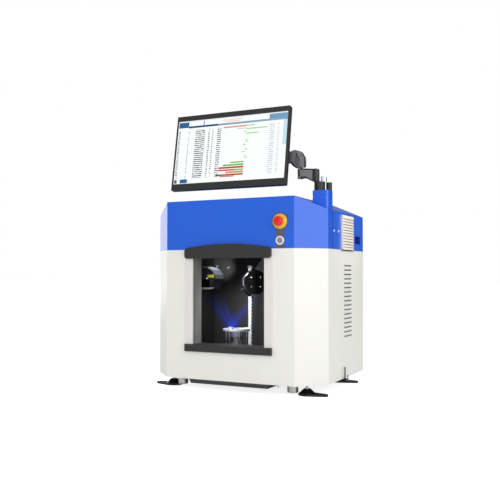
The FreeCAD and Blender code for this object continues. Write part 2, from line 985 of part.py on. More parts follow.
def lower_link():
    """The short link: a hub on the post, then a beam that thins towards the elbow."""
    low = post_base_z + running_gap
    y_span = centred(arm_y, link_width)
    side = [(arm_x, low), (arm_x, lower_link_top), (elbow_x, lower_link_top), (elbow_x, lower_link_bottom),
            (elbow_x + lower_link_length * knee_ratio, lower_link_bottom), (arm_x - hub_radius * root_ratio, low)]
    beam = prism_y(side, y_span[0], y_span[1])
    hub = rod(arm_x, arm_y, low, hub_radius, lower_link_top - low)
    end = rod(elbow_x, arm_y, lower_link_bottom, hub_radius, lower_link_top - lower_link_bottom)
    link = joined([hub, end, beam])
    top = lower_link_top
    link = bevel_where(link, link_edge, lambda edge: edge.BoundBox.ZMin > top - touch)
    post_bore = rod(arm_x, arm_y, low, arm_post_radius + pin_clearance, arm_post_length)
    pin_bore = rod(elbow_x, arm_y, lower_link_bottom, elbow_pin_radius, lower_link_top - lower_link_bottom)
    return link.cut(post_bore).cut(pin_bore)


def elbow_pin():
    low = lower_link_bottom - elbow_pin_foot
    high = lower_link_top + elbow_pin_rise
    shank = rod(elbow_x, arm_y, lower_link_bottom, elbow_pin_radius, high - lower_link_bottom)
    foot = rod(elbow_x, arm_y, low, hub_radius * pin_foot_ratio, elbow_pin_foot)
    return joined([foot, shank])


def on_arm(shape):
    """Carry a shape from the arm's own frame, whose -X is the arm's heading, to the elbow."""
    return moved(spun(shape, (0, 0, 0), (0, 0, 1), -arm_heading), elbow_x, arm_y, 0)


def knuckle_solid():
    low = lower_link_top + running_gap
    half = knuckle_width / 2
    hub = rod(0, 0, low, hub_radius, lift_height - low)
    drum = rod(-lift_offset, -half, lift_height, knuckle_radius, knuckle_width, (0, 1, 0))
    side = [(-lift_offset, low + knuckle_foot), (0, low), (hub_radius, low), (hub_radius, lift_height),
            (-lift_offset, lift_height)]
    web = prism_y(side, -half * web_ratio, half * web_ratio)
    start = tension_start()
    barrel = rod(start[0], 0, start[1], tension_radius, tension_length, (1, 0, 1))
    return joined([hub, drum, web, barrel])


def tension_start():
    return -lift_offset - tension_back, lift_height - tension_drop


def elbow_knuckle():
    """The elbow's upper half: a hub on its pin, two cheeks with the lift pin, and the tension barrel."""
    low = lower_link_top + running_gap
    body = knuckle_solid()
    slot_half = tongue_width / 2 + running_gap
    slot = block((-lift_offset - 2 * knuckle_radius, -lift_offset), (-slot_half, slot_half),
                 (lift_height - tongue_radius - tongue_clearance, lift_height + 2 * knuckle_radius))
    pocket_radius = tongue_radius + tongue_clearance
    pocket = rod(-lift_offset, -slot_half, lift_height, pocket_radius, 2 * slot_half, (0, 1, 0))
    body = body.cut(slot).cut(pocket)
    body = body.cut(rod(0, 0, low, elbow_pin_radius + pin_clearance, elbow_pin_rise))
    pin = rod(-lift_offset, -knuckle_width / 2, lift_height, lift_pin_radius, knuckle_width, (0, 1, 0))
    start = tension_start()
    cap = rod(start[0], 0, start[1], tension_radius + tension_cap_rim, tension_cap_thickness, (-1, 0, -1))
    return on_arm(joined([body, pin, cap]))


def upper_link():
    """The long link: a tongue between the knuckle's cheeks, then a tapered cover."""
    tongue_half = tongue_width / 2
    far = -lift_offset - upper_link_length
    start = -lift_offset - knuckle_radius - upper_link_gap
    eye = rod(-lift_offset, -tongue_half, lift_height, tongue_radius, tongue_width, (0, 1, 0))
    tongue_y = (-tongue_half, tongue_half)
    neck_z = centred(lift_height, tongue_radius * neck_ratio)
    neck = block((start - neck_overlap, -lift_offset), tongue_y, neck_z)
    top = lift_height + knuckle_radius
    middle = top - upper_link_height / 2
    end = far + head_radius + upper_link_gap
    side = [(start, top), (start, top - upper_link_height), (end, middle - upper_link_tip_height / 2),
            (end, middle + upper_link_tip_height / 2)]
    cover = prism_y(side, -upper_link_width / 2, upper_link_width / 2)
    cover = round_along_any(cover, upper_link_edge)
    tip = rod(far, -tongue_half, lift_height, head_radius, tongue_width, (0, 1, 0))
    tip_neck = block((far, end + upper_link_gap), tongue_y, centred(lift_height, head_radius))
    link = joined([eye, neck, cover, tip, tip_neck])
    bore_radius = lift_pin_radius + pin_clearance
    bore = rod(-lift_offset, -tongue_half, lift_height, bore_radius, tongue_width, (0, 1, 0))
    pin = rod(far, -knuckle_width / 2, lift_height, lift_pin_radius, knuckle_width, (0, 1, 0))
    return on_arm(joined([link.cut(bore), pin]))


def round_along_any(shape, radius):
    """Round the long edges of a side-profile prism, which run in the XZ plane."""
    return shape.makeFillet(radius, [edge for edge in shape.Edges if not along(edge, (0, 1, 0))])


def level_head():
    """The block that stays upright: two cheeks on the far pin and the pan pin beyond them."""
    far = -lift_offset - upper_link_length
    pan = far - head_reach
    half = knuckle_width / 2
    z_span = centred(lift_height, head_height)
    barrel = rod(pan, 0, z_span[0], head_radius, head_height)
    cheeks = rod(far, -half, lift_height, head_radius, knuckle_width, (0, 1, 0))
    web = block((pan, far), (-half, half), centred(lift_height, head_radius * 2))
    web = web.common(block((pan - head_radius, far), (-half, half), z_span))
    head = joined([barrel, cheeks, web])
    slot_half = tongue_width / 2 + running_gap
    slot_x = (far - head_radius - head_gap, far + 2 * head_radius)
    head = head.cut(block(slot_x, (-slot_half, slot_half), z_span))
    head = head.cut(rod(far, -half, lift_height, lift_pin_radius + pin_clearance, knuckle_width, (0, 1, 0)))
    pin = rod(pan, 0, z_span[1], pan_pin_radius, pan_height - pan_roof - head_gap)
    return on_arm(joined([head, pin]))


def pan_place():
    """The pan axis in the cabinet's frame."""
    reach = lift_offset + upper_link_length + head_reach
    heading = math.radians(arm_heading)
    return elbow_x - reach * math.cos(heading), arm_y + reach * math.sin(heading)


def on_pan(shape):
    x, y = pan_place()
    return moved(spun(shape, (0, 0, 0), (0, 0, 1), monitor_yaw), x, y, 0)


def tilt_axis_place():
    """The tilt axis in the pan frame, as (y, z)."""
    tilt = math.radians(monitor_tilt)
    y = -monitor_reach + tilt_axis_back * math.cos(tilt)
    z = monitor_centre_z - tilt_axis_back * math.sin(tilt)
    return y, z


def pan_block():
    low = lift_height + head_height / 2 + running_gap
    barrel = rod(0, 0, low, head_radius, pan_height)
    y, z = tilt_axis_place()
    nose = block((-pan_lug_half, pan_lug_half), (y, 0), (low, low + pan_height))
    round_nose = rod(-pan_lug_half, y, z, pan_lug_radius, 2 * pan_lug_half, (1, 0, 0))
    body = joined([barrel, nose, round_nose])
    body = body.cut(rod(0, 0, low, pan_pin_radius + pin_clearance, pan_height - pan_roof))
    pin = rod(-tilt_pin_half, y, z, tilt_pin_radius, 2 * tilt_pin_half, (1, 0, 0))
    return on_pan(joined([body, pin]))


def on_monitor(shape):
    """Carry a shape from the monitor's own frame, front face centred on the origin, to its place."""
    tilted = spun(shape, (0, 0, 0), (1, 0, 0), -monitor_tilt)
    return on_pan(moved(tilted, 0, -monitor_reach, monitor_centre_z))


def mount_bracket():
    """The square plate on the monitor's back, with two ears on the tilt pin."""
    near = monitor_edge + bulge_depth
    half = mount_plate / 2
    plate = block((-half, half), (near, near + mount_plate_thickness), (-half, half))
    plate = round_along(plate, (0, 1, 0), mount_corner)
    holes = []
    for x in (-mount_spacing / 2, mount_spacing / 2):
        for z in (-mount_spacing / 2, mount_spacing / 2):
            holes.append(rod(x, near, z, mount_hole_radius, mount_plate_thickness, (0, 1, 0)))
    ears = []
    inner = pan_lug_half + ear_gap
    for x in (-inner - ear_thickness, inner):
        ear_y = (near + mount_plate_thickness, tilt_axis_back)
        ears.append(block((x, x + ear_thickness), ear_y, (-ear_radius, ear_radius)))
        ears.append(rod(x, tilt_axis_back, 0, ear_radius, ear_thickness, (1, 0, 0)))
    bracket = joined([plate] + ears).cut(Part.makeCompound(holes))
    bore_radius = tilt_pin_radius + pin_clearance
    bore = rod(-tilt_pin_half, tilt_axis_back, 0, bore_radius, 2 * tilt_pin_half, (1, 0, 0))
    return on_monitor(bracket.cut(bore))


def slab(width, height, low, high, corner):
    body = block(centred(0, width), (low, high), centred(0, height))
    return round_along(body, (0, 1, 0), corner)


def screen_window(low, high):
    x = monitor_width / 2 - bezel_side
    z_span = (-monitor_height / 2 + bezel_bottom, monitor_height / 2 - bezel_top)
    return block((-x, x), (low, high), z_span)


def monitor_bezel():
    frame = slab(monitor_width, monitor_height, 0, bezel_depth, monitor_corner)
    frame = bevel_where(frame, monitor_front_edge, lambda edge: edge.BoundBox.YMax < touch)
    frame = frame.cut(screen_window(0, bezel_depth))
    return on_monitor(frame)


def screen_panel():
    return on_monitor(screen_window(bezel_lip, bezel_lip + screen_thickness))


def monitor_back():
    """The rear housing: a flat tray and a raised middle, both hollow."""
    tray = slab(monitor_width, monitor_height, bezel_depth, monitor_edge, monitor_corner)
    inner_width = monitor_width - 2 * monitor_wall
    inner_height = monitor_height - 2 * monitor_wall
    inner_rear = monitor_edge - monitor_wall
    tray = tray.cut(slab(inner_width, inner_height, bezel_depth, inner_rear, monitor_corner / 2))
    base = face_of([(x, monitor_edge, z) for x, z in ((-bulge_width / 2, -bulge_height / 2),
                   (bulge_width / 2, -bulge_height / 2), (bulge_width / 2, bulge_height / 2),
                   (-bulge_width / 2, bulge_height / 2))])
    shrink = bulge_depth
    crown = face_of([(x, monitor_edge + bulge_depth, z) for x, z in (
                    (-bulge_width / 2 + shrink, -bulge_height / 2 + shrink),
                    (bulge_width / 2 - shrink, -bulge_height / 2 + shrink),
                    (bulge_width / 2 - shrink, bulge_height / 2 - shrink),
                    (-bulge_width / 2 + shrink, bulge_height / 2 - shrink))])
    bulge = Part.makeLoft([base.OuterWire, crown.OuterWire], True)
    hollow = block(centred(0, bulge_width - 3 * shrink), (monitor_edge - monitor_wall,
                   monitor_edge + bulge_depth - monitor_wall), centred(0, bulge_height - 3 * shrink))
    back = joined([tray, bulge]).cut(hollow)
    slots = []
    slot_y = (monitor_edge + bulge_depth - monitor_wall, monitor_edge + bulge_depth)
    slot_z = centred(bulge_height / 2 - 2 * shrink, back_slot_height)
    for index in range(back_slot_count):
        x = (index - (back_slot_count - 1) / 2) * back_slot_pitch
        slots.append(block(centred(x, back_slot_width), slot_y, slot_z))
    return on_monitor(back.cut(Part.makeCompound(slots)))


# Chamber

def chamber_liner():
    outer = block((liner_left, liner_right), (guide_rear, liner_rear), (base_top, deck_z))
    inner_z = (base_top + liner_sheet, deck_z - liner_sheet)
    inner = block((liner_left + liner_sheet, liner_right - liner_sheet),
                  (guide_rear + liner_sheet, liner_rear - liner_sheet), inner_z)
    window = block((-half_door, half_door), (guide_rear, guide_rear + liner_sheet), (sill_top, opening_top))
    return outer.cut(inner).cut(window)


def table_base():
    """The rotary stage with its built-in motor: a flanged drum, bored for the spindle."""
    low = base_top + liner_sheet
    waist = table_radius - table_waist
    profile = [(0, low), (table_radius, low), (table_radius, low + table_flange),
               (waist, low + table_flange + table_waist / 3),
               (waist, table_top - table_flange - table_waist / 3),
               (table_radius, table_top - table_flange), (table_radius, table_top),
               (spindle_radius + running_gap, table_top), (spindle_radius + running_gap, low + table_wall),
               (0, low + table_wall)]
    return turned(profile, table_x, table_y)


def table_platter():
    """The platter with its spindle, a rim bevel and a cross of T-slots."""
    low = base_top + liner_sheet + table_wall + running_gap
    spindle = rod(table_x, table_y, low, spindle_radius, platter_z - low)
    disc = rod(table_x, table_y, platter_z, platter_radius, platter_thickness)
    top = platter_top
    disc = disc.makeChamfer(platter_edge, [edge for edge in disc.Edges if edge.BoundBox.ZMin > top - touch])
    platter = joined([spindle, disc])
    for angle in (45, 135):
        slot_z = (platter_top - platter_slot, platter_top)
        slot = block(centred(table_x, 2 * platter_radius), centred(table_y, platter_slot), slot_z)
        keep = rod(table_x, table_y, slot_z[0], fixture_base_radius, platter_slot)
        platter = platter.cut(spun(slot.cut(keep), (table_x, table_y, 0), (0, 0, 1), angle))
    return platter


def fixture_base():
    """The fixture's base disc, turned in one piece with the stepped pilot in its middle."""
    low = platter_top + fixture_base_thickness
    high = fixture_ring_top - pilot_below_ring
    neck_low = low + pilot_step + pilot_slope
    neck_high = neck_low + pilot_neck_length
    profile = [(0, platter_top), (fixture_base_radius, platter_top),
               (fixture_base_radius, low - fixture_edge),
               (fixture_base_radius - fixture_edge, low), (fixture_hub_radius, low),
               (fixture_hub_radius, low + pilot_step), (pilot_neck_radius, neck_low),
               (pilot_neck_radius, neck_high), (fixture_hub_radius, neck_high + pilot_slope),
               (fixture_hub_radius, high - pilot_step), (pilot_tip_radius, high), (0, high)]
    return turned(profile, table_x, table_y)


def around_fixture(radius, count, first):
    places = []
    for index in range(count):
        angle = math.radians(first + index * 360 / count)
        places.append((table_x + radius * math.cos(angle), table_y + radius * math.sin(angle)))
    return places


def ring_low():
    return fixture_ring_top - fixture_ring_thickness


def fixture_posts():
    low = platter_top + fixture_base_thickness
    posts = []
    for x, y in around_fixture(fixture_post_circle, fixture_post_count, post_bearing):
        collar = rod(x, y, low, fixture_post_radius * post_collar_ratio, post_collar_height)
        posts.append(joined([collar, rod(x, y, low, fixture_post_radius, ring_low() - low)]))
    return Part.makeCompound(posts)


def fixture_ring():
    """The clamping ring with three jaws on its top face."""
    low = ring_low()
    ring = rod(table_x, table_y, low, fixture_ring_outer, fixture_ring_thickness)
    ring = ring.cut(rod(table_x, table_y, low, fixture_ring_inner, fixture_ring_thickness))
    jaw_x = (table_x + fixture_ring_inner + jaw_margin, table_x + fixture_ring_outer - jaw_margin)
    jaw = block(jaw_x, centred(table_y, jaw_width), (fixture_ring_top, fixture_ring_top + jaw_height))
    jaws = []
    for index in range(jaw_count):
        jaws.append(spun(jaw, (table_x, table_y, 0), (0, 0, 1), jaw_bearing + index * 360 / jaw_count))
    return joined([ring] + jaws)


def column():
    low = base_top + liner_sheet
    cap_low = column_top - column_cap_height
    shaft = block(centred(column_x, column_width), centred(column_y, column_depth), (low, cap_low))
    cap = block(centred(column_x, column_cap_width), centred(column_y, column_depth), (cap_low, column_top))
    foot_x_span = centred(column_x, column_width * column_foot_ratio)
    foot_y_span = centred(column_y, column_depth * column_foot_ratio)
    foot = block(foot_x_span, foot_y_span, (low, low + column_foot_height))
    body = joined([shaft, cap, foot])
    holes = []
    z = low + column_hole_pitch
    while z < cap_low - column_hole_radius:
        holes.append(rod(column_x, column_y, z, column_hole_radius, column_width, (1, 0, 0)))
        z += column_hole_pitch
    return body.cut(Part.makeCompound(holes))


# Sensor heads

def left_profile(low_at_root, low_at_tip):
    """The left head's side view between its top and a slanted lower edge."""
    tip = left_head_tip_x
    root = tip - left_head_length
    top = left_head_top
    return [(root, top), (tip - left_brow_run, top), (tip - left_nose_run, top - left_brow_drop),
            (tip - left_tip_lean, top - left_nose_drop), (tip, top - left_tip_drop),
            (tip - left_tip_lean, low_at_tip), (root, low_at_root)]


def left_y_span(inset):
    return centred(left_head_middle_y, left_head_depth - 2 * inset)


def left_split():
    """Height of the joint between the head's shell and its window, at the root and at the tip."""
    root_z = left_head_top - left_head_height + left_window_height + left_rim_height + window_margin
    return root_z, left_head_top - left_tip_drop - left_tip_lean


def left_head_shell():
    """The left head's housing, with a slanted recess along its foot for the window."""
    root_z, tip_z = left_split()
    drop = left_window_height + left_rim_height
    y_span = left_y_span(0)
    top = prism_y(left_profile(root_z, tip_z), y_span[0], y_span[1])
    tip = left_head_tip_x
    root = tip - left_head_length
    foot = [(root, root_z), (tip - left_tip_lean, tip_z), (tip - left_foot_lean, tip_z - drop),
            (root, root_z - drop)]
    low = prism_y(foot, y_span[0], y_span[1])
    shell = joined([top, low])
    crest = left_head_top - touch
    on_crest = lambda edge: edge.BoundBox.ZMin > crest and along(edge, (1, 0, 0))
    shell = round_where(shell, head_corner, on_crest)
    shell = shell.cut(left_window_solid())
    return shell.cut(left_pivot(pin_clearance))


def left_pivot_z():
    return left_head_top - left_pivot_drop


def left_pivot(grow):
    """The pin that stands out of the arm's cheek and carries the left head."""
    root = left_head_tip_x - left_head_length
    y = left_y_span(0)[1]
    return rod(root + left_arm_size / 2, y - left_pivot_depth, left_pivot_z(), left_pivot_radius + grow,
               left_pivot_depth + running_gap, (0, 1, 0))


def left_window_solid():
    root_z, tip_z = left_split()
    tip = left_head_tip_x
    root = tip - left_head_length
    y = left_y_span(0)[0]
    points = [(root + window_margin, root_z), (tip - 2 * left_tip_lean, tip_z),
              (tip - left_foot_lean, tip_z - left_window_height),
              (root + window_margin, root_z - left_window_height)]
    return prism_y(points, y, y + window_depth)


def left_head_window():
    return left_window_solid().cut(left_lens_solid())


def left_lens_solid():
    """The lens in the window's face, towards the doorway."""
    root_z, tip_z = left_split()
    x = left_head_tip_x - left_head_length * left_lens_place
    z = (root_z + tip_z) / 2 - left_window_height / 2 - left_lens_drop
    y = left_y_span(0)[0]
    return rod(x, y, z, left_lens_radius, lens_thickness, (0, 1, 0))


def left_head_arm():
    """The bracket on the chamber's left wall, with a cheek behind the left head."""
    wall = liner_left + liner_sheet
    root = left_head_tip_x - left_head_length
    z = left_pivot_z()
    back = left_y_span(0)[1] + running_gap
    z_span = centred(z, left_arm_size)
    cheek = block((wall, root + left_arm_size), (back, back + left_arm_cheek), z_span)
    foot_z = centred(z, left_arm_foot_ratio * left_arm_size)
    foot = block((wall, wall + left_arm_foot), (back, back + 2 * left_arm_size), foot_z)
    return joined([cheek, foot, left_pivot(0)])


def on_right(shape):
    """Carry a shape from the right head's frame, whose -Y is the drum's axis, to its place."""
    aimed = spun(shape, (0, 0, 0), (0, 0, 1), right_head_turn)
    return moved(aimed, right_head_x, right_head_y, right_head_z)


def right_head_drum():
    """The right head: a drum with the optics' nose pointing down and to the left."""
    drum = rod(0, 0, 0, right_head_radius, right_head_depth, (0, 1, 0))
    rear = right_head_depth - touch
    drum = drum.makeChamfer(right_drum_edge, [edge for edge in drum.Edges if edge.BoundBox.YMin > rear])
    drum = drum.cut(right_pivot(pin_clearance))
    dx, _, dz = nose_direction()
    corners = []
    for reach, side in ((right_head_radius / 2, -1), (right_nose_reach, -1),
                        (right_nose_reach, 1), (right_head_radius / 2, 1)):
        half = side * right_nose_width / 2
        corners.append((reach * dx - half * dz, reach * dz + half * dx))
    y_span = centred(right_head_depth / 2, right_nose_width)
    nose = prism_y(corners, y_span[0], y_span[1])
    return on_right(drum.fuse(nose).cut(right_lens_solid()))


def nose_direction():
    angle = math.radians(right_nose_angle)
    return (-math.cos(angle), 0, -math.sin(angle))


def right_lens_solid():
    direction = nose_direction()
    start = right_nose_reach - lens_thickness
    return rod(start * direction[0], right_head_depth / 2, start * direction[2], lens_radius, lens_thickness,
               direction)


def right_pivot(grow):
    low = right_head_depth - right_pivot_depth
    length = right_pivot_depth + right_arm_thickness
    return rod(0, low, 0, left_pivot_radius + grow, length, (0, 1, 0))


def right_head_lens():
    return on_right(right_lens_solid())


def right_head_cover():
    disc = rod(0, -right_cover_thickness, 0, right_head_radius, right_cover_thickness, (0, 1, 0))
    face = touch - right_cover_thickness
    disc = bevel_where(disc, right_cover_edge, lambda edge: edge.BoundBox.YMax < face)
    return on_right(disc)


def right_head_arm():
    """The bracket that drops from the chamber's ceiling behind the drum, wide above and narrow below."""
    near = right_head_depth + running_gap
    top = deck_z - liner_sheet - right_head_z
    heel = -right_head_radius * right_arm_heel_ratio
    toe = right_head_radius * right_arm_toe_ratio
    sag = right_head_radius * right_arm_sag_ratio
    near_x = right_head_radius * right_arm_near_ratio
    far_x = right_head_radius * right_arm_far_ratio
    side = [(heel, 0), (toe, -sag), (far_x, top), (near_x, top)]
    plate = prism_y(side, near, near + right_arm_thickness)
    eye = rod(0, near, 0, left_pivot_radius * right_eye_ratio, right_arm_thickness, (0, 1, 0))
    return on_right(joined([plate, eye, right_pivot(0)]))


# Underneath

def foot_places():
    return [(side * foot_x, end * foot_y) for side in (-1, 1) for end in (-1, 1)]


def foot_pad(x, y):
    """A round base with a lug that reaches outwards to the bench bolt."""
    side = 1 if x > 0 else -1
    lug_x = x + side * bolt_reach
    disc = rod(x, y, 0, foot_base_radius, foot_base_thickness)
    lug = rod(lug_x, y, 0, foot_lug_radius, foot_base_thickness)
    lean = (foot_base_radius - foot_lug_radius) / bolt_reach
    rise = math.sqrt(1 - lean * lean)
    edge = []
    for centre, radius in ((x, foot_base_radius), (lug_x, foot_lug_radius)):
        edge.append((centre + side * lean * radius, rise * radius))
    web = prism_z([(edge[0][0], y - edge[0][1]), (edge[1][0], y - edge[1][1]), (edge[1][0], y + edge[1][1]),
                   (edge[0][0], y + edge[0][1])], 0, foot_base_thickness)
    top = foot_base_thickness + foot_hub_height
    hub = turned([(0, foot_base_thickness), (foot_base_radius - foot_hub_margin, foot_base_thickness),
                  (foot_hub_radius, foot_base_thickness + foot_hub_height / 2),
                  (foot_neck_radius, top), (0, top)], x, y)
    pad = joined([disc, lug, web, hub])
    pad = pad.cut(rod(lug_x, y, 0, bench_hole_radius, foot_base_thickness))
    return pad.cut(rod(x, y, top - foot_socket, stud_radius + pin_clearance, foot_socket))


def foot_pads():
    return Part.makeCompound([foot_pad(x, y) for x, y in foot_places()])


def foot_studs():
    studs = []
    low = foot_base_thickness + foot_hub_height
    for x, y in foot_places():
        shank = rod(x, y, low - foot_socket, stud_radius, base_top - low + foot_socket)
        nut_points = []
        for index in range(6):
            angle = math.radians(60 * index)
            nut_points.append((x + stud_nut_radius * math.cos(angle), y + stud_nut_radius * math.sin(angle)))
        nut_z = base_z - stud_nut_height
        nut = prism_z(nut_points, nut_z, base_z)
        studs.append(joined([shank, nut]))
    return Part.makeCompound(studs)


def support_bosses():
    """Two silver bosses under the front corners, and a small earthing peg beside them."""
    bosses = []
    for x in (-boss_x, boss_x):
        low = base_z - boss_height
        profile = [(0, low), (boss_radius - boss_edge, low), (boss_radius, low + boss_edge),
                   (boss_radius, base_z), (0, base_z)]
        bosses.append(turned(profile, x, boss_y))
    peg = rod(peg_x, front_y + 2 * sheet + peg_radius, base_z - peg_drop, peg_radius, peg_drop)
    return Part.makeCompound(bosses + [peg])


def base_tray():
    low = base_z - tray_drop
    half = tray_half
    points = [(-half, base_z), (half, base_z), (half - tray_taper, low), (-half + tray_taper, low)]
    tray = prism_y(points, front_y + base_lift, front_y + base_lift + tray_depth)
    half_in = half - 2 * tray_taper
    tray_front = front_y + base_lift
    inside_y = (tray_front + tray_taper, tray_front + tray_depth - tray_taper)
    inside = block((-half_in, half_in), inside_y, (low + tray_wall, base_z))
    return tray.cut(inside)


def side_bracket():
    """A small bracket under the right side, with a slim rod that stands beside the panel."""
    x_span = (half_width - 3 * bracket_out, half_width + bracket_out)
    y_span = centred(bracket_y, bracket_width)
    top = base_z - bracket_drop
    plate = block(x_span, y_span, (top - bracket_thickness, top))
    spacer = block((x_span[0], half_width - 2 * bracket_out), y_span, (top, base_z))
    outer = half_width + bracket_out
    lip_y = (bracket_y + bracket_width / 4, bracket_y + bracket_width / 2)
    lip = block((outer - bracket_lip, outer), lip_y, (top, base_z + bracket_lip_rise))
    x = half_width + (bracket_out - bracket_lip) / 2
    upright = rod(x, bracket_y - bracket_width / 4, top, side_rod_radius, side_rod_height)
    return joined([plate, spacer, lip, upright])


# Screws, rear inlet and the bay

def power_inlet():
    """A recessed three-pin inlet in a flanged frame on the rear panel."""
    back = rear_y + panel_thickness
    body = block(centred(inlet_x, inlet_width), (rear_y - inlet_depth, back), centred(inlet_z, inlet_height))
    front = back + inlet_flange_thickness
    floor = back - inlet_well_depth
    flange = block(centred(inlet_x, inlet_width + 2 * inlet_flange), (back, front),
                   centred(inlet_z, inlet_height + 2 * inlet_flange))
    flange = round_along(flange, (0, 1, 0), inlet_corner)
    well = block(centred(inlet_x, inlet_width - 2 * inlet_wall), (floor, front),
                 centred(inlet_z, inlet_height - 2 * inlet_wall))
    inlet = joined([body, flange]).cut(well)
    pins = []
    for index in (-1, 0, 1):
        pin_x = centred(inlet_x + index * inlet_pin_pitch, inlet_pin)
        pins.append(block(pin_x, (floor, back - inlet_pin), centred(inlet_z, 2 * inlet_pin)))
    return joined([inlet] + pins)


def cover_screws():
    """Button-head screws: two on the cover's right side and eight on the rear panel."""
    heads = []
    side_front = front_y + corner_cut
    fan_front = fan_middle_y - fan_flange / 2
    for share in cover_screw_shares:
        y = side_front + share * (fan_front - side_front)
        heads.append(rod(half_width, y, seam_z + cover_screw_rise, screw_radius, screw_head, (1, 0, 0)))
    x_span, z_span = panel_spans()
    back = rear_y + panel_thickness
    margin = panel_margin / 4
    middle_z = (z_span[0] + z_span[1]) / 2
    for x in (x_span[0] + margin, x_span[1] - margin):
        for z in (z_span[0] + margin, middle_z, z_span[1] - margin):
            heads.append(rod(x, back, z, screw_radius, screw_head, (0, 1, 0)))
    for z in (z_span[0] + margin, z_span[1] - margin):
        heads.append(rod(0, back, z, screw_radius, screw_head, (0, 1, 0)))
    return Part.makeCompound(heads)


def control_computer():
    """A sealed computer with a ribbed heat sink on its outer side."""
    low_x = liner_right + bay_gap
    high_x = half_width - sheet - 2 * bay_gap
    y_span = (liner_rear - computer_depth, liner_rear)
    z_span = (base_top, base_top + computer_height)
    rib_depth = bay_gap
    body = block((low_x, high_x - rib_depth), y_span, z_span)
    ribs = []
    pitch = computer_depth / rib_count
    for index in range(rib_count):
        y = y_span[0] + (index + 0.5) * pitch
        ribs.append(block((high_x - rib_depth, high_x), centred(y, pitch * rib_share), z_span))
    return joined([body] + ribs)


def power_supply():
    low_x = liner_right + bay_gap
    high_x = half_width - sheet - 3 * bay_gap
    y_span = (liner_rear - supply_depth, liner_rear)
    low = base_top + computer_height
    body = block((low_x, high_x), y_span, (low, low + supply_height))
    return round_along(body, (0, 1, 0), supply_corner)


save("base_plate", base_plate())
save("upper_frame", upper_frame())
save("lower_housing", lower_housing())
save("top_cover", top_cover())
save("rear_panel", rear_panel())
save("side_grips", Part.makeCompound([side_grip(), mirrored(side_grip())]))
save("cover_screws", cover_screws())
save("power_inlet", power_inlet())
save("door_guides", Part.makeCompound([door_guide(), mirrored(door_guide())]))
save("door_leaf_lower", door_leaf_lower())
save("door_leaf_upper", door_leaf_upper())
save("door_handle", door_handle())
save("door_sill", door_sill())
save("door_trims", door_trims())
save("control_plate", control_plate())
save("estop_collar", estop_collar())
save("estop_stem", estop_stem())
save("estop_head", estop_head())
save("start_bezel", start_bezel())
save("start_button", start_button())
save("contact_blocks", contact_blocks())
save("fan_frame", fan_frame())
save("fan_grille", fan_grille())
save("filter_mat", filter_mat())
save("fan_body", fan_body())
save("fan_rotor", fan_rotor())
save("mast_tube", mast_tube())
save("mast_cap", mast_cap())
save("clamp_knob", clamp_knob())
save("cable_cap", cable_cap())
save("lower_link", lower_link())
save("elbow_pin", elbow_pin())
save("elbow_knuckle", elbow_knuckle())
save("upper_link", upper_link())
save("level_head", level_head())
save("pan_block", pan_block())
save("mount_bracket", mount_bracket())
save("monitor_bezel", monitor_bezel())
save("screen_panel", screen_panel())
save("monitor_back", monitor_back())
save("chamber_liner", chamber_liner())
save("table_base", table_base())
save("table_platter", table_platter())
save("fixture_base", fixture_base())
save("fixture_posts", fixture_posts())
save("fixture_ring", fixture_ring())
save("column", column())
save("left_head_shell", left_head_shell())
save("left_head_window", left_head_window())
save("left_head_lens", left_lens_solid())
save("head_arms", Part.makeCompound([left_head_arm(), right_head_arm()]))
save("right_head_drum", right_head_drum())
save("right_head_cover", right_head_cover())
save("right_head_lens", right_head_lens())
save("foot_pads", foot_pads())
save("foot_studs", foot_studs())
save("support_bosses", support_bosses())
save("base_tray", base_tray())
save("side_bracket", side_bracket())
save("bay_units", Part.makeCompound([control_computer(), power_supply()]))
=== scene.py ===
# %% [markdown]
# This lesson dresses a benchtop three-dimensional scanner. Its construction comes packed from CAD: a white
# steel cabinet with a blue cover, a doorway with a rotary table and two optical heads behind it, and a
# monitor on a jointed arm. The frame is fixed, so nothing in it is moved. We give each part the finish
# that it has in life and add the small things that CAD leaves out, such as screws, lens rings and the
# picture on the display.

# %% Load the frame
import json
import math

import bpy
from mathutils import Euler, Matrix, Vector


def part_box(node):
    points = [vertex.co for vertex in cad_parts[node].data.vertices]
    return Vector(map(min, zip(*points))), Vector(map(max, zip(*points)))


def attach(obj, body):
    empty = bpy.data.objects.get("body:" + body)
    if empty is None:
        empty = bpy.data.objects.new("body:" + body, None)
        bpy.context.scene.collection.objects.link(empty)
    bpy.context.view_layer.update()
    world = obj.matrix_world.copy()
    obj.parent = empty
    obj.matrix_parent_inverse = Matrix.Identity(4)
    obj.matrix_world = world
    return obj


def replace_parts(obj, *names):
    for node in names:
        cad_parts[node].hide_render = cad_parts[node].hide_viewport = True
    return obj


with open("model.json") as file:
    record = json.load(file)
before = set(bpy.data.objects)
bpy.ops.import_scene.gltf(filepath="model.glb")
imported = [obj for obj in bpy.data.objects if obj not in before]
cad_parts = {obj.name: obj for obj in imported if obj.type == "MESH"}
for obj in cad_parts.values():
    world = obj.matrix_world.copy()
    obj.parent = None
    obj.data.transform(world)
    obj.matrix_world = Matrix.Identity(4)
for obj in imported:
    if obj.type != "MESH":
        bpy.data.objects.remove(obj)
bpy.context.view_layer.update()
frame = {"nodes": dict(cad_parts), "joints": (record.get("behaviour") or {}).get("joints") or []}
nodes = frame["nodes"]
joints = {joint["name"]: joint for joint in frame["joints"]}

# %% [markdown]
# Every size below is in metres, as in the frame, and most are written in millimetres times mm. Colours are
# picked as sRGB hex values, the way a paint chart gives them, and one function turns them into the linear
# values that the shader needs. One more function adds a node, sets it and links it, which keeps each
# material short.

# %% Units, colours and nodes
mm = 0.001


def linear(code, alpha=1.0):
    channels = [int(code[i:i + 2], 16) / 255 for i in (1, 3, 5)]
    return [c / 12.92 if c <= 0.04045 else ((c + 0.055) / 1.055) ** 2.4 for c in channels] + [alpha]


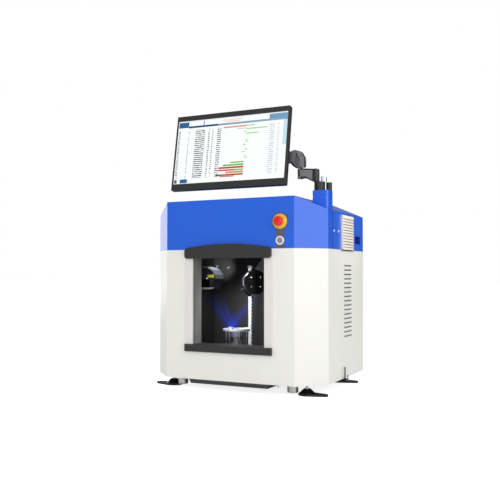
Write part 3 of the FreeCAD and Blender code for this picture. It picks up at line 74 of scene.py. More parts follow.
def add(tree, kind, inputs=None, **settings):
    """Add one node, apply its settings, and link or set its inputs."""
    node = tree.nodes.new("ShaderNode" + kind)
    for name, value in settings.items():
        setattr(node, name, value)
    for socket, value in (inputs or {}).items():
        if isinstance(value, bpy.types.NodeSocket):
            tree.links.new(value, node.inputs[socket])
        else:
            node.inputs[socket].default_value = value
    return node


# %% [markdown]
# A surface in life is never one flat colour. Powder coat has a fine orange peel, moulded plastic a
# spark-eroded grain, and cast metal a pebbled skin. They differ in the size of the grain, in how deep it
# is and in how much the colour drifts. So one function lays these three over any shader, and each material
# below says what its own surface is, with the sizes in millimetres.

# %% A base for every finish
drift_scale = 9.0  # per metre, so one patch is about a hand wide
least_roughness = 0.02


def finish(name, colour, drift=None, roughness=0.5, rough_drift=0.05, grain=1.0, depth=0.02, **sockets):
    """A material with a colour that drifts slightly and a grain of a given size and depth in millimetres."""
    material = bpy.data.materials.new(name)
    material.use_nodes = True
    tree = material.node_tree
    shader = tree.nodes["Principled BSDF"]
    place = add(tree, "TexCoord").outputs["Object"]
    broad = add(tree, "TexNoise", {"Vector": place, "Scale": drift_scale, "Detail": 3.0, "Roughness": 0.6})
    two_shades = {0: broad.outputs["Fac"], 6: linear(colour), 7: linear(drift or colour)}
    shade = add(tree, "Mix", two_shades, data_type="RGBA")
    tree.links.new(shade.outputs[2], shader.inputs["Base Color"])
    grain_scale = 1 / (grain * mm)
    fine = add(tree, "TexNoise", {"Vector": place, "Scale": grain_scale, "Detail": 2.0, "Roughness": 0.5})
    low, high = max(roughness - rough_drift, least_roughness), roughness + rough_drift
    spread = add(tree, "MapRange", {"Value": fine.outputs["Fac"], "To Min": low, "To Max": high})
    tree.links.new(spread.outputs["Result"], shader.inputs["Roughness"])
    relief = add(tree, "Bump", {"Height": fine.outputs["Fac"], "Distance": depth * mm, "Strength": 1.0})
    tree.links.new(relief.outputs["Normal"], shader.inputs["Normal"])
    for socket, value in sockets.items():
        shader.inputs[socket.replace("_", " ")].default_value = value
    return material


def dress(material, *names):
    """Give a finish to whole CAD nodes."""
    for name in names:
        mesh = nodes[name].data
        for index in range(max(len(mesh.materials), 1)):
            if index < len(mesh.materials):
                mesh.materials[index] = material
            else:
                mesh.materials.append(material)


# %% [markdown]
# The cabinet's sheet steel is powder coated. Powder melts into a smooth satin skin with a soft orange peel
# a few millimetres across. A thin clear coat gives the sheen on top: it is faint on the white and strong
# on the blue, which mirrors the room along its edges. The mast has the cover's blue with a smoother skin.
# The trims beside the doorway are a greyer white, the liner is charcoal so that stray light dies in the
# chamber, and the frame has dull primer.

# %% Powder-coated steel
white_coat = finish("powder_coat_white", "#ebeae5", "#e6e5df", 0.42, 0.05, 2.2, 0.03,
                    Coat_Weight=0.25, Coat_Roughness=0.3)
blue_coat = finish("powder_coat_blue", "#1b60da", "#195cd2", 0.42, 0.05, 2.2, 0.03,
                   Specular_IOR_Level=0.15, Coat_Weight=0.7, Coat_Roughness=0.16)
mast_coat = finish("powder_coat_blue_gloss", "#1b60de", "#195cd6", 0.3, 0.05, 2.2, 0.01,
                   Specular_IOR_Level=0.1, Coat_Weight=1.0, Coat_Roughness=0.14)
trim_coat = finish("powder_coat_light_grey", "#e2e0dc", "#dcdad6", 0.4, 0.05, 2.0, 0.03, Coat_Weight=0.2)
primer_coat = finish("primer_grey", "#4a4c4e", "#434547", 0.6, 0.06, 1.6, 0.03)
liner_coat = finish("powder_coat_charcoal", "#3b3b3c", "#343435", 0.55, 0.05, 2.0, 0.03, Coat_Weight=0.1)
tray_coat = finish("powder_coat_black", "#2c2d2c", "#262726", 0.45, 0.05, 1.8, 0.03, Coat_Weight=0.2)
plate_coat = finish("powder_coat_dark_grey", "#595766", "#525059", 0.45, 0.05, 1.8, 0.03)
column_coat = finish("powder_coat_pale_grey", "#f0f2f4", "#e8ebee", 0.35, 0.05, 1.8, 0.03, Coat_Weight=0.3)
head_arm_coat = finish("powder_coat_lilac_grey", "#8f8f9f", "#858594", 0.4, 0.05, 1.8, 0.03, Coat_Weight=0.2)
dress(white_coat, "lower_housing", "rear_panel")
dress(blue_coat, "top_cover")
dress(mast_coat, "mast_tube")
dress(trim_coat, "door_trims")
dress(primer_coat, "base_plate", "upper_frame")
dress(liner_coat, "chamber_liner")
dress(tray_coat, "base_tray", "side_bracket")
dress(plate_coat, "control_plate")
dress(column_coat, "column")
dress(head_arm_coat, "head_arms")
print("materials", len(bpy.data.materials))

# %% [markdown]
# The handle bar, the sill, the caps and the monitor's case are moulded in dark ABS or nylon. A
# spark-eroded mould leaves a fine even grain, so the surface is dull and its highlights are broad. The
# emergency stop and the right head's cover come from polished moulds: they are smooth and give a small
# sharp highlight. Two near-blacks are painted shade: one is the shadow line under the fan cover, the other
# the shade behind the vent slots, and the second also colours the elbow's ribs. The fan plate's brown-grey
# and the vent inserts' grey paint shade too, and the visor lip's light grey paints a highlight. The blank
# tag is a vinyl label with an even, greenish yellow.

# %% Moulded plastics
door_abs = finish("abs_dark_grey", "#2b2a29", "#262524", 0.5, 0.08, 0.9, 0.03)
cap_nylon = finish("nylon_black", "#121413", "#0d0f0e", 0.42, 0.08, 0.9, 0.02)
monitor_abs = finish("abs_monitor_black", "#2b2b2d", "#252527", 0.5, 0.06, 0.9, 0.02)
grip_abs = finish("abs_navy", "#1836a4", "#142f92", 0.45, 0.05, 1.0, 0.02)
fan_abs = finish("abs_cream", "#eee8de", "#e7e0d4", 0.45, 0.06, 1.0, 0.02)
fan_nylon = finish("nylon_fan_black", "#18191a", "#121314", 0.5, 0.06, 1.0, 0.02)
contact_nylon = finish("nylon_contact_grey", "#2a2b2d", "#232426", 0.5, 0.06, 1.0, 0.02)
collar_abs = finish("abs_yellow", "#e8b21c", "#dfa917", 0.28, 0.04, 1.2, 0.01,
                    Coat_Weight=0.4, Coat_Roughness=0.15)
mushroom_abs = finish("abs_red", "#e8101c", "#de0c18", 0.25, 0.04, 1.2, 0.01,
                      Coat_Weight=0.25, Coat_Roughness=0.1)
button_abs = finish("abs_button_grey", "#938b97", "#857d89", 0.4, 0.05, 0.9, 0.02)
cover_abs = finish("abs_gloss_black", "#0c0d0f", "#08090b", 0.16, 0.04, 1.5, 0.01,
                   Coat_Weight=0.6, Coat_Roughness=0.08)
head_shell_abs = finish("abs_slate", "#22232a", "#1c1d23", 0.7, 0.06, 1.2, 0.02, Specular_IOR_Level=0.12)
# This light grey paints the highlight along the lower rim of the left head's visor.
lip_highlight_grey = finish("abs_lip_highlight_grey", "#9c958d", "#8f8881", 0.45, 0.05, 1.2, 0.02)
# This brown-grey paints the shade in the gaps between the fan's louvres.
gap_shade_brown = finish("abs_brown_shadow", "#6b6050", "#5f5547", 0.7, 0.05, 1.2, 0.02)
# This grey paints the shade inside the vent slots.
vent_shade_grey = finish("abs_vent_shade_grey", "#605e58", "#57554f", 0.6, 0.06, 1.0, 0.02)
# This black paints the shade behind the vent slots, and it also colours the elbow's ribs.
shade_and_rib_black = finish("black_for_vent_shade_and_ribs", "#17181a", "#101112", 0.7, 0.05, 1.0, 0.05)
# This near-black paints the shadow line under the fan cover.
shadow_line_black = finish("black_for_shadow_line", "#15181a", "#101214", 0.6, 0.06, 1.0, 0.02)
tag_vinyl = finish("vinyl_yellow_green", "#c2cc3a", "#b8c234", 0.35, 0.05, 1.4, 0.01)
foot_nylon = finish("nylon_foot_black", "#0f1011", "#0a0b0c", 0.3, 0.06, 1.4, 0.02,
                    Coat_Weight=0.4, Coat_Roughness=0.2)
dress(door_abs, "door_handle", "door_sill")
dress(cap_nylon, "mast_cap", "cable_cap")
dress(monitor_abs, "monitor_bezel", "monitor_back")
dress(grip_abs, "side_grips")
dress(fan_abs, "fan_frame", "fan_grille")
dress(fan_nylon, "fan_body", "fan_rotor")
dress(contact_nylon, "contact_blocks", "power_inlet")
dress(collar_abs, "estop_collar")
dress(mushroom_abs, "estop_head")
dress(button_abs, "start_button")
dress(head_shell_abs, "left_head_shell", "right_head_drum")
dress(cover_abs, "right_head_cover")
dress(foot_nylon, "foot_pads")
print("materials", len(bpy.data.materials))

# %% [markdown]
# Turned and drawn steel is bare metal: it has no colour under its reflections, so metallic is 1 and the
# colour is what it reflects. Ground, plated and anodised parts have a dull skin over the metal, which
# scatters light as paint does, so their metallic value is lower. In a dark chamber this skin is what makes
# them visible. The cast links of the arm are painted a satin grey, with black edges.

# %% Bare and anodised metals
turned_steel = finish("turned_steel", "#c9cac6", "#bfc0bc", 0.28, 0.08, 0.7, 0.01, Metallic=1.0)
ground_steel = finish("ground_steel", "#f4f4f4", "#ececed", 0.36, 0.06, 0.8, 0.01, Metallic=0.25)
post_steel = finish("drawn_steel", "#c4c5ca", "#b4b5ba", 0.24, 0.06, 0.8, 0.01, Metallic=1.0)
hub_steel = finish("machined_steel", "#a6a7ab", "#9a9b9f", 0.4, 0.06, 0.8, 0.01, Metallic=0.3)
pale_zinc = finish("zinc_passivated_pale", "#f6f6f6", "#eeeeef", 0.4, 0.05, 0.8, 0.01, Metallic=0.1)
bright_steel = finish("zinc_plated_steel", "#f2f3f5", "#e8eaee", 0.3, 0.05, 0.8, 0.01, Metallic=0.5)
satin_chrome = finish("satin_chrome", "#f3f3f4", "#ebebed", 0.3, 0.05, 0.8, 0.005, Metallic=0.35)
knob_steel = finish("nickel_plated_steel", "#c3cbd8", "#b2bbc9", 0.25, 0.05, 0.8, 0.005, Metallic=0.8)
teal_anodised = finish("anodised_aluminium_teal", "#3f6a80", "#35596c", 0.3, 0.05, 0.8, 0.01, Metallic=0.6)
guide_aluminium = finish("anodised_aluminium_grey", "#9c9b9a", "#908f8e", 0.45, 0.05, 0.8, 0.01, Metallic=0.2)
stage_aluminium = finish("anodised_aluminium_black", "#1c1d24", "#16171d", 0.35, 0.06, 0.8, 0.01,
                         Metallic=0.5)
bay_aluminium = finish("anodised_aluminium", "#8b8c90", "#7e7f83", 0.4, 0.06, 0.8, 0.01, Metallic=0.9)
arm_cast = finish("cast_aluminium_painted", "#7a7a7b", "#6f6f70", 0.42, 0.07, 1.6, 0.05, Coat_Weight=0.15)
edge_cast = finish("cast_aluminium_black", "#131314", "#0f0f10", 0.4, 0.06, 1.6, 0.03,
                   Coat_Weight=0.2, Coat_Roughness=0.2)
dress(turned_steel, "estop_stem", "clamp_knob", "support_bosses", "foot_studs")
dress(ground_steel, "fixture_ring")
dress(post_steel, "fixture_posts")
dress(hub_steel, "fixture_base")
dress(bright_steel, "cover_screws")
dress(satin_chrome, "start_bezel")
dress(edge_cast, "elbow_pin")
dress(guide_aluminium, "door_guides")
dress(stage_aluminium, "table_base", "table_platter")
dress(bay_aluminium, "bay_units")
dress(arm_cast, "lower_link", "level_head", "pan_block", "mount_bracket")
print("materials", len(bpy.data.materials))

# %% [markdown]
# The elbow and the long link are castings of two tones: the half towards the front is satin grey, and the
# half behind it is black, as on an arm whose cable cover is clipped on from the back. One material does
# both. It measures how far a point lies in front of the elbow's axis, along the normal of the arm's cheek,
# and mixes the two greys there.

# %% Casting of two tones
elbow = Vector((270, -151, 0))
arm_yaw = math.radians(8.5)
cheek_front = Vector((-math.sin(arm_yaw), -math.cos(arm_yaw), 0))
seam_depth, seam_width = -7.0, 1.5

two_tone = finish("cast_aluminium_two_tone", "#7a7a7b", "#6f6f70", 0.42, 0.07, 1.6, 0.05, Coat_Weight=0.1)
tree = two_tone.node_tree
shader = tree.nodes["Principled BSDF"]
light_grey = shader.inputs["Base Color"].links[0].from_socket
place = add(tree, "TexCoord").outputs["Object"]
from_axis = add(tree, "VectorMath", {0: place, 1: elbow * mm}, operation="SUBTRACT").outputs[0]
depth = add(tree, "VectorMath", {0: from_axis, 1: cheek_front}, operation="DOT_PRODUCT").outputs["Value"]
seam = {"Value": depth, "From Min": seam_depth * mm, "From Max": (seam_depth + seam_width) * mm}
front_half = add(tree, "MapRange", seam).outputs["Result"]
toned = add(tree, "Mix", {0: front_half, 6: linear("#131314"), 7: light_grey}, data_type="RGBA").outputs[2]
tree.links.new(toned, shader.inputs["Base Color"])
dress(two_tone, "elbow_knuckle", "upper_link")
print("two tones on", "elbow_knuckle", "upper_link")

# %% [markdown]
# The door's leaves are smoked polycarbonate: light passes, darkened, and the sheet mirrors the room. The
# window in the left head is coated glass, nearly black, and its lens has the blue bloom of an
# anti-reflection coat. The filter mat is loose polyester fibre, so its grain is coarse and deep and it has
# a soft sheen. The status light is a milky lens over a white diode, so it glows evenly.

# %% Glass, polycarbonate and fibre
smoked = finish("smoked_polycarbonate", "#3a3d40", "#34373a", 0.06, 0.02, 4.0, 0.005,
                Transmission_Weight=0.85, IOR=1.58)
window_glass = finish("coated_glass_black", "#07090f", "#05070c", 0.08, 0.03, 4.0, 0.005,
                      Coat_Weight=1.0, Coat_Roughness=0.03)
lens_glass = finish("lens_glass_blue", "#142f78", "#0c1f58", 0.05, 0.02, 4.0, 0.002,
                    Coat_Weight=1.0, Coat_Roughness=0.02)
mat_fibre = finish("polyester_fibre", "#d8d8d2", "#c8c8c0", 0.9, 0.05, 1.4, 0.5, Sheen_Weight=0.4)
dress(smoked, "door_leaf_lower", "door_leaf_upper")
dress(window_glass, "left_head_window")
dress(lens_glass, "left_head_lens", "right_head_lens")
dress(mat_fibre, "filter_mat")
status_led = finish("led_white", "#ffffff", "#ffffff", 0.2, 0.02, 1.0, 0.0, Emission_Strength=0.9)
status_led.node_tree.nodes["Principled BSDF"].inputs["Emission Color"].default_value = linear("#f4f8ff")
print("materials", len(bpy.data.materials))

# %% [markdown]
# The display shows a white results page: a header, rows of figures and a bar chart about one upright axis.
# A display is light and not matter, so the page is drawn in the screen's own material, on coordinates that
# run from left to right and from top to bottom of the lit area. Each patch is a rectangle with its place
# and colour, and the rows of figures are short dashes broken up by noise, too small to read. Only the
# glass that faces forwards is lit.

# %% The picture on the display
screen_lean = math.radians(10)
screen_middle = sum(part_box("screen_panel"), Vector()) / 2
screen_axis = Vector(joints["monitor_tilt"]["axis"])
screen_yaw = math.atan2(screen_axis.y, screen_axis.x)
screen_width = 522 * mm
screen_height = 289 * mm
row_count = 31
row_band = (0.15, 0.92)
line_middle, line_half = 0.5, 0.24
dashes_across, dash_threshold = 150.0, 0.41

page_white = "#fbfdfe"
header_patches = [
    (0.000, 1.000, 0.000, 0.020, "#e9f0f4"), (0.005, 0.100, 0.020, 0.108, "#1f5f92"),
    (0.100, 0.378, 0.088, 0.120, "#174a7c"), (0.378, 1.000, 0.090, 0.122, "#86a6b8"),
    (0.840, 0.998, 0.018, 0.092, "#6f9dc0"), (0.420, 0.600, 0.035, 0.050, "#f0c9c2"),
    (0.450, 0.575, 0.062, 0.074, "#eec2ba"), (0.240, 0.248, 0.020, 0.085, "#2b5f90"),
    (0.966, 1.000, 0.122, 0.500, "#c4e3f3"),
]
chart_patches = [
    (0.430, 0.640, 0.150, 0.172, "#e08b86"), (0.640, 0.715, 0.150, 0.168, "#a8d8a0"),
    (0.560, 0.640, 0.190, 0.206, "#b9dcae"), (0.640, 0.825, 0.200, 0.220, "#a6dba0"),
    (0.625, 0.640, 0.245, 0.262, "#9ad490"), (0.640, 0.750, 0.272, 0.292, "#abdca4"),
    (0.640, 0.660, 0.370, 0.384, "#9fd695"), (0.640, 0.668, 0.398, 0.412, "#8fcf86"),
    (0.622, 0.640, 0.440, 0.462, "#96d28c"), (0.640, 0.662, 0.520, 0.534, "#96d28c"),
    (0.618, 0.640, 0.556, 0.572, "#96d28c"), (0.640, 0.655, 0.612, 0.626, "#96d28c"),
    (0.640, 0.664, 0.644, 0.660, "#96d28c"), (0.520, 0.640, 0.706, 0.726, "#62b558"),
    (0.455, 0.640, 0.742, 0.766, "#4cb848"), (0.415, 0.640, 0.778, 0.806, "#c4403a"),
    (0.415, 0.560, 0.818, 0.842, "#cc4a40"), (0.560, 0.640, 0.818, 0.842, "#a8b04a"),
    (0.480, 0.640, 0.852, 0.878, "#b79a48"), (0.390, 0.640, 0.890, 0.914, "#a4302e"),
    (0.430, 0.560, 0.918, 0.934, "#c46a60"),
]
icon_patches = [(0.004, 0.030, 0.935, 0.990, "#1d6a96"), (0.058, 0.128, 0.930, 0.990, "#1b5f93")]
figure_columns = [(0.016, 0.010), (0.105, 0.004), (0.215, 0.046), (0.300, 0.008), (0.334, 0.006),
                  (0.395, 0.018)]
faint_columns = [(0.870, 0.022), (0.925, 0.008)]


def paint(tree, below, across, down, patch, colour, *masks):
    """Lay one coloured rectangle over the picture. Further masks break it up."""
    left, right, top, foot = patch
    columns = {0: across, 1: (left + right) / 2, 2: (right - left) / 2}
    rows = {0: down, 1: (top + foot) / 2, 2: (foot - top) / 2}
    mask = add(tree, "Math", columns, operation="COMPARE").outputs[0]
    for other in (add(tree, "Math", rows, operation="COMPARE").outputs[0], *masks):
        mask = add(tree, "Math", {0: mask, 1: other}, operation="MULTIPLY").outputs[0]
    return add(tree, "Mix", {0: mask, 6: below, 7: linear(colour)}, data_type="RGBA").outputs[2]


display = bpy.data.materials.new("lit_display")
display.use_nodes = True
tree = display.node_tree
shader = tree.nodes["Principled BSDF"]
flat = add(tree, "Mapping", {"Vector": add(tree, "TexCoord").outputs["Object"], "Location": screen_middle,
                             "Rotation": (-screen_lean, 0, screen_yaw),
                             "Scale": (screen_width, 1, screen_height)}, vector_type="TEXTURE")
axes = add(tree, "SeparateXYZ", {"Vector": flat.outputs["Vector"]})
across = add(tree, "Math", {0: axes.outputs["X"], 1: 0.5}, operation="ADD").outputs[0]
down = add(tree, "Math", {0: 0.5, 1: axes.outputs["Z"]}, operation="SUBTRACT").outputs[0]
picture = add(tree, "RGB").outputs[0]
picture.default_value = linear(page_white)
for *patch, colour in header_patches + chart_patches + icon_patches:
    picture = paint(tree, picture, across, down, patch, colour)

rows = add(tree, "Math", {0: down, 1: row_count}, operation="MULTIPLY").outputs[0]
in_row = add(tree, "Math", {0: rows}, operation="FRACT").outputs[0]
line = add(tree, "Math", {0: in_row, 1: line_middle, 2: line_half}, operation="COMPARE").outputs[0]
dash = add(tree, "Math", {0: across, 1: dashes_across}, operation="MULTIPLY").outputs[0]
whole_row = add(tree, "Math", {0: rows}, operation="FLOOR").outputs[0]
cell = add(tree, "CombineXYZ", {"X": dash, "Y": whole_row})
specks = add(tree, "TexNoise", {"Vector": cell.outputs[0], "Scale": 0.9, "Detail": 1.0}).outputs["Fac"]
dashes = add(tree, "Math", {0: specks, 1: dash_threshold}, operation="GREATER_THAN").outputs[0]
for columns, colour in ((figure_columns, "#4c5054"), (faint_columns, "#c9cfd4")):
    for middle, half in columns:
        patch = (middle - half, middle + half, *row_band)
        picture = paint(tree, picture, across, down, patch, colour, line, dashes)

glass_front = Euler((-screen_lean, 0, screen_yaw)).to_matrix() @ Vector((0, -1, 0))
normal = add(tree, "TexCoord").outputs["Normal"]
facing = add(tree, "VectorMath", {0: normal, 1: glass_front}, operation="DOT_PRODUCT").outputs["Value"]
lit = add(tree, "Math", {0: facing, 1: 0.9}, operation="GREATER_THAN").outputs[0]
tree.links.new(picture, shader.inputs["Emission Color"])
tree.links.new(lit, shader.inputs["Emission Strength"])
shader.inputs["Base Color"].default_value = linear("#050505")
shader.inputs["Roughness"].default_value = 0.2
dress(display, "screen_panel")
print("patches", len(header_patches + chart_patches + icon_patches))

# %% [markdown]
# The small parts that CAD leaves out are modelled next, the way one works by hand: a primitive is added at
# its size, shaped in edit mode, and finished with modifiers that are applied. An operator acts on all that
# is selected, and the import leaves the whole frame selected, so the first helper selects one object
# alone. The last one names, smooths and paints a piece and hangs it on the body that it moves with.

# %% Helpers for modelling
def alone(obj):
    """Make one object the only selected and the active one."""
    bpy.ops.object.select_all(action="DESELECT")
    obj.select_set(True)
    bpy.context.view_layer.objects.active = obj


def modify(obj, kind, **settings):
    """Add a modifier, set it and apply it."""
    alone(obj)
    modifier = obj.modifiers.new(kind.lower(), kind)
    for key, value in settings.items():
        setattr(modifier, key, value)
    bpy.ops.object.modifier_apply(modifier=modifier.name)
    return obj


def pick(obj, test, kind="FACE"):
    """Select in edit mode the faces, or the corners, whose place in millimetres and normal pass a test."""
    alone(obj)
    bpy.ops.object.mode_set(mode="EDIT")
    bpy.ops.mesh.select_mode(type=kind)
    bpy.ops.mesh.select_all(action="DESELECT")
    bpy.ops.object.mode_set(mode="OBJECT")
    for part in obj.data.polygons if kind == "FACE" else obj.data.vertices:
        part.select = test((part.center if kind == "FACE" else part.co) / mm, part.normal)
    bpy.ops.object.mode_set(mode="EDIT")


def shift(obj, test, *move):
    """Move the corners that pass a test by so many millimetres."""
    pick(obj, test, "VERT")
    bpy.ops.transform.translate(value=Vector(move) * mm)
    bpy.ops.object.mode_set(mode="OBJECT")


def extrude(*move):
    """Extrude the selection by so many millimetres."""
    bpy.ops.mesh.extrude_region_move(TRANSFORM_OT_translate={"value": [step * mm for step in move]})


def block(low, high, edge=0.0, steps=3):
    """A box between two corners in millimetres, with rounded edges."""
    low, high = Vector(low) * mm, Vector(high) * mm
    bpy.ops.object.select_all(action="DESELECT")
    bpy.ops.mesh.primitive_cube_add(size=1, location=(low + high) / 2, scale=high - low)
    obj = bpy.context.object
    bpy.ops.object.transform_apply(location=True, rotation=True, scale=True)
    return modify(obj, "BEVEL", width=edge * mm, segments=steps) if edge else obj


def circle(corners, radius, place, fill="NGON", **settings):
    """A circle of so many corners, its radius and place in millimetres."""
    bpy.ops.object.select_all(action="DESELECT")
    bpy.ops.mesh.primitive_circle_add(vertices=corners, radius=radius * mm, fill_type=fill,
                                      location=[c * mm for c in place], **settings)
    obj = bpy.context.object
    bpy.ops.object.transform_apply(location=True, rotation=True, scale=True)
    return obj


def turned(rings, segments=48):
    """A part turned on the Z axis: a filled circle, extruded from ring to ring of (radius, height)."""
    (radius, height), *others = rings
    obj = circle(segments, radius, (0, 0, height))
    bpy.ops.object.mode_set(mode="EDIT")
    bpy.ops.mesh.select_mode(type="FACE")
    bpy.ops.mesh.select_all(action="SELECT")
    for next_radius, next_height in others:
        extrude(0, 0, next_height - height)
        bpy.ops.transform.resize(value=(next_radius / radius, next_radius / radius, 1))
        radius, height = next_radius, next_height
    bpy.ops.mesh.select_all(action="SELECT")
    bpy.ops.mesh.normals_make_consistent(inside=False)
    bpy.ops.object.mode_set(mode="OBJECT")
    return obj


def aim(obj, place, direction=(0, 0, 1)):
    """Stand a part that was made on the Z axis at a place in millimetres, turned to a direction."""
    obj.location = Vector(place) * mm
    obj.rotation_euler = Vector((0, 0, 1)).rotation_difference(Vector(direction)).to_euler()
    return obj


def again(obj):
    """A copy with its own mesh."""
    alone(obj)
    bpy.ops.object.duplicate(linked=False)
    return bpy.context.object


def settle(obj, name, body, *materials, angle=35):
    """Write the place into the mesh, smooth it, name it, paint it and let it ride on its body."""
    alone(obj)
    bpy.ops.object.transform_apply(location=True, rotation=True, scale=True)
    bpy.ops.object.shade_smooth_by_angle(angle=math.radians(angle))
    obj.name = obj.data.name = name
    for material in materials:
        obj.data.materials.append(material)
    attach(obj, body)
    return obj


FRONT, REAR, RIGHT = (0, -1, 0), (0, 1, 0), (1, 0, 0)

# %% [markdown]
# The panels are held by button-head screws with a hexagon socket. One screw is turned, its socket is cut
# with a six-sided prism, and copies of it stand in for the plain discs of the frame. Two more hold a
# bracket on the chamber's rear wall, and smaller ones hold the cover of the right head.

# %% Button-head screws
screw = turned([(4.5, 0), (4.5, 0.4), (4.3, 1.1), (3.7, 1.8), (2.8, 2.3), (1.9, 2.5)], 32)
bpy.ops.mesh.primitive_cylinder_add(vertices=6, radius=1.5 * mm, depth=2.6 * mm, location=(0, 0, 2.3 * mm))
socket_cutter = bpy.context.object
modify(screw, "BOOLEAN", operation="DIFFERENCE", object=socket_cutter, solver="EXACT")
bpy.data.objects.remove(socket_cutter)

side_places = [(400, y, 663) for y in (-110.5, -55.3)]
rear_places = [(x, 288.5, z) for x in (-340, 340) for z in (81, 316, 551)]
rear_places += [(0, 288.5, z) for z in (81, 551)]
wall_places = [(-313, 192, 521), (-250.5, 192, 516)]
cover_places = [(place, RIGHT) for place in side_places] + [(place, REAR) for place in rear_places]
for count, (place, direction) in enumerate(cover_places, 1):
    cover_screw = aim(again(screw), place, direction)
    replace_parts(settle(cover_screw, f"cover_screw_{count}", "cabinet", bright_steel), "cover_screws")
for count, place in enumerate(wall_places, 1):
    settle(aim(again(screw), place, FRONT), f"wall_screw_{count}", "cabinet", pale_zinc)
print("screws", len(cover_places) + len(wall_places))

# %% [markdown]
# The emergency stop is the part that people look for, so it gets smooth turned shapes: a yellow collar
# with a raised shoulder, and a red mushroom whose rim rolls under. The start button is a satin grey cap
# with a groove for its light, in a chromed ring.

# %% Emergency stop and start button
stop_place = (236, -287.5, 695)
mushroom_place = (236, -301.1, 695)
start_place = (236, -287.5, 619)
button_place = (236, -283, 619)
collar_rings = [(30.5, 0), (30.5, 1.9), (30.1, 2.6), (29.2, 3.0), (25.6, 3.4), (23.8, 4.6), (22.2, 7.2),
                (21.3, 8.2), (20.2, 8.5), (12.0, 8.5), (11.0, 8.1), (10.4, 7.2), (10.2, 6.0), (10.2, 1.0)]
mushroom_rings = [(9.0, 0), (13.0, 0.2), (16.8, 1.2), (18.7, 2.7), (19.4, 4.6), (19.5, 6.2), (19.2, 8.2),
                  (18.2, 10.2), (16.4, 11.9), (13.6, 13.1), (10.0, 13.7), (5.5, 14.0), (1.5, 14.0)]
bezel_rings = [(18.0, 0), (18.0, 3.2), (17.6, 4.3), (16.7, 4.9), (15.6, 5.0), (13.4, 5.0), (12.6, 4.7),
               (12.1, 4.0), (11.9, 3.0), (11.1, 2.8), (11.1, 0.6)]
button_rings = [(10.5, 0), (10.5, 10.2), (10.1, 10.7), (9.4, 10.9), (8.4, 10.9), (8.2, 10.4), (7.0, 10.4),
                (6.8, 10.9), (5.2, 11.0), (1.5, 11.0)]
collar = settle(aim(turned(collar_rings, 72), stop_place, FRONT), "stop_collar", "cabinet", collar_abs)
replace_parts(collar, "estop_collar")
mushroom = aim(turned(mushroom_rings, 72), mushroom_place, FRONT)
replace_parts(settle(mushroom, "stop_mushroom", "estop_mushroom", mushroom_abs), "estop_head")
bezel = settle(aim(turned(bezel_rings, 64), start_place, FRONT), "start_ring", "cabinet", satin_chrome)
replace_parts(bezel, "start_bezel")
button = settle(aim(turned(button_rings, 64), button_place, FRONT), "start_cap", "start_key", button_abs)
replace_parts(button, "start_button")
print("pieces", [obj.name for obj in (collar, mushroom, bezel, button)])

# %% [markdown]
# The outlet of the filter fan is a moulded cover whose louvres stand proud like roof tiles, over a plate
# whose dark brown-grey paints the shade in the gaps between them. One louvre is a box whose upper outer
# edge is pushed back towards the wall, and ten copies climb up between a closed top and foot. The plate
# ends short of the louvres at the rear, so their ends stand out one by one. A thin near-black strip below
# the cover paints the shadow line under it.

# %% Louvred fan cover
fan_y = (-23.7, 124.8)
fan_z = (586.6, 734.7)
fan_plate_x, fan_face_x = 403.0, 410.0
louvre_pitch, louvre_height, louvre_count = 12.0, 9.0, 10
louvre_foot, louvre_slant, louvre_overhang = 600.5, 3.4, 8.0
cap_low, cap_slant = 720.6, 2.4
# The plate's brown-grey paints the shade between the louvres.
plate = block((fan_plate_x, fan_y[0], fan_z[0]),
              (fan_plate_x + 1.6, fan_y[1] - louvre_overhang, fan_z[1]), 0.5)
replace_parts(settle(plate, "fan_cover_plate", "cabinet", gap_shade_brown), "fan_grille")
for name, low, high in (("fan_cover_foot", fan_z[0] + 1.6, louvre_foot - 2.4),
                        ("fan_cover_head", cap_low, fan_z[1])):
    cap = block((fan_plate_x + 0.8, fan_y[0], low), (fan_face_x, fan_y[1], high))
    shift(cap, lambda place, normal: place.x > fan_face_x - 1 and place.z > high - 1, -cap_slant, 0, 0)
    settle(modify(cap, "BEVEL", width=1.5 * mm, segments=3), name, "cabinet", fan_abs)
end = block((fan_plate_x + 0.8, fan_y[0], fan_z[0] + 1.6), (fan_face_x - 1.2, fan_y[0] + 3.0, 728), 0.6)
settle(end, "fan_cover_end", "cabinet", fan_abs)
louvre = block((fan_plate_x + 0.8, fan_y[0] + 0.6, 0), (fan_face_x, fan_y[1] - 0.4, louvre_height))
shift(louvre, lambda place, normal: place.x > fan_face_x - 1 and place.z > louvre_height - 1,
      -louvre_slant, 0, 0)
modify(louvre, "BEVEL", width=0.7 * mm, segments=3)
for count in range(louvre_count):
    tile = again(louvre)
    tile.location.z = (louvre_foot + count * louvre_pitch) * mm
    settle(tile, f"fan_louvre_{count + 1}", "cabinet", fan_abs)
bpy.data.objects.remove(louvre)
# A dark strip below the cover paints its shadow line.
shadow_line_strip = block((400.1, fan_y[0] - 0.5, fan_z[0] - 3.2), (406.5, fan_y[1] + 0.2, fan_z[0] + 1.6), 0.4)
settle(shadow_line_strip, "fan_shadow_line", "cabinet", shadow_line_black)
print("louvres", louvre_count)

# %% [markdown]
# A dark sheet behind the vent slots paints the shade inside the cabinet. Each slot has a moulded grey
# insert with a sunk middle, and the insert's grey paints the shade in the slot, so it reads as a soft dark
# dash. One insert is a box with its outer face inset, and the others are copies of it.

# %% Painted shade in the vents
vent_middle_y, vent_top_z, vent_pitch, vent_total = 63.0, 522.0, 18.75, 17
vent_half = 47.0
vent_foot_z = vent_top_z - vent_pitch * (vent_total - 1)
# A dark sheet behind the slots paints the shade inside the cabinet.
vent_shade_sheet = block((395.2, vent_middle_y - vent_half - 4, vent_foot_z - 10),
                    (396.4, vent_middle_y + vent_half + 4, vent_top_z + 10))
settle(vent_shade_sheet, "vent_shade_backing", "cabinet", shade_and_rib_black)
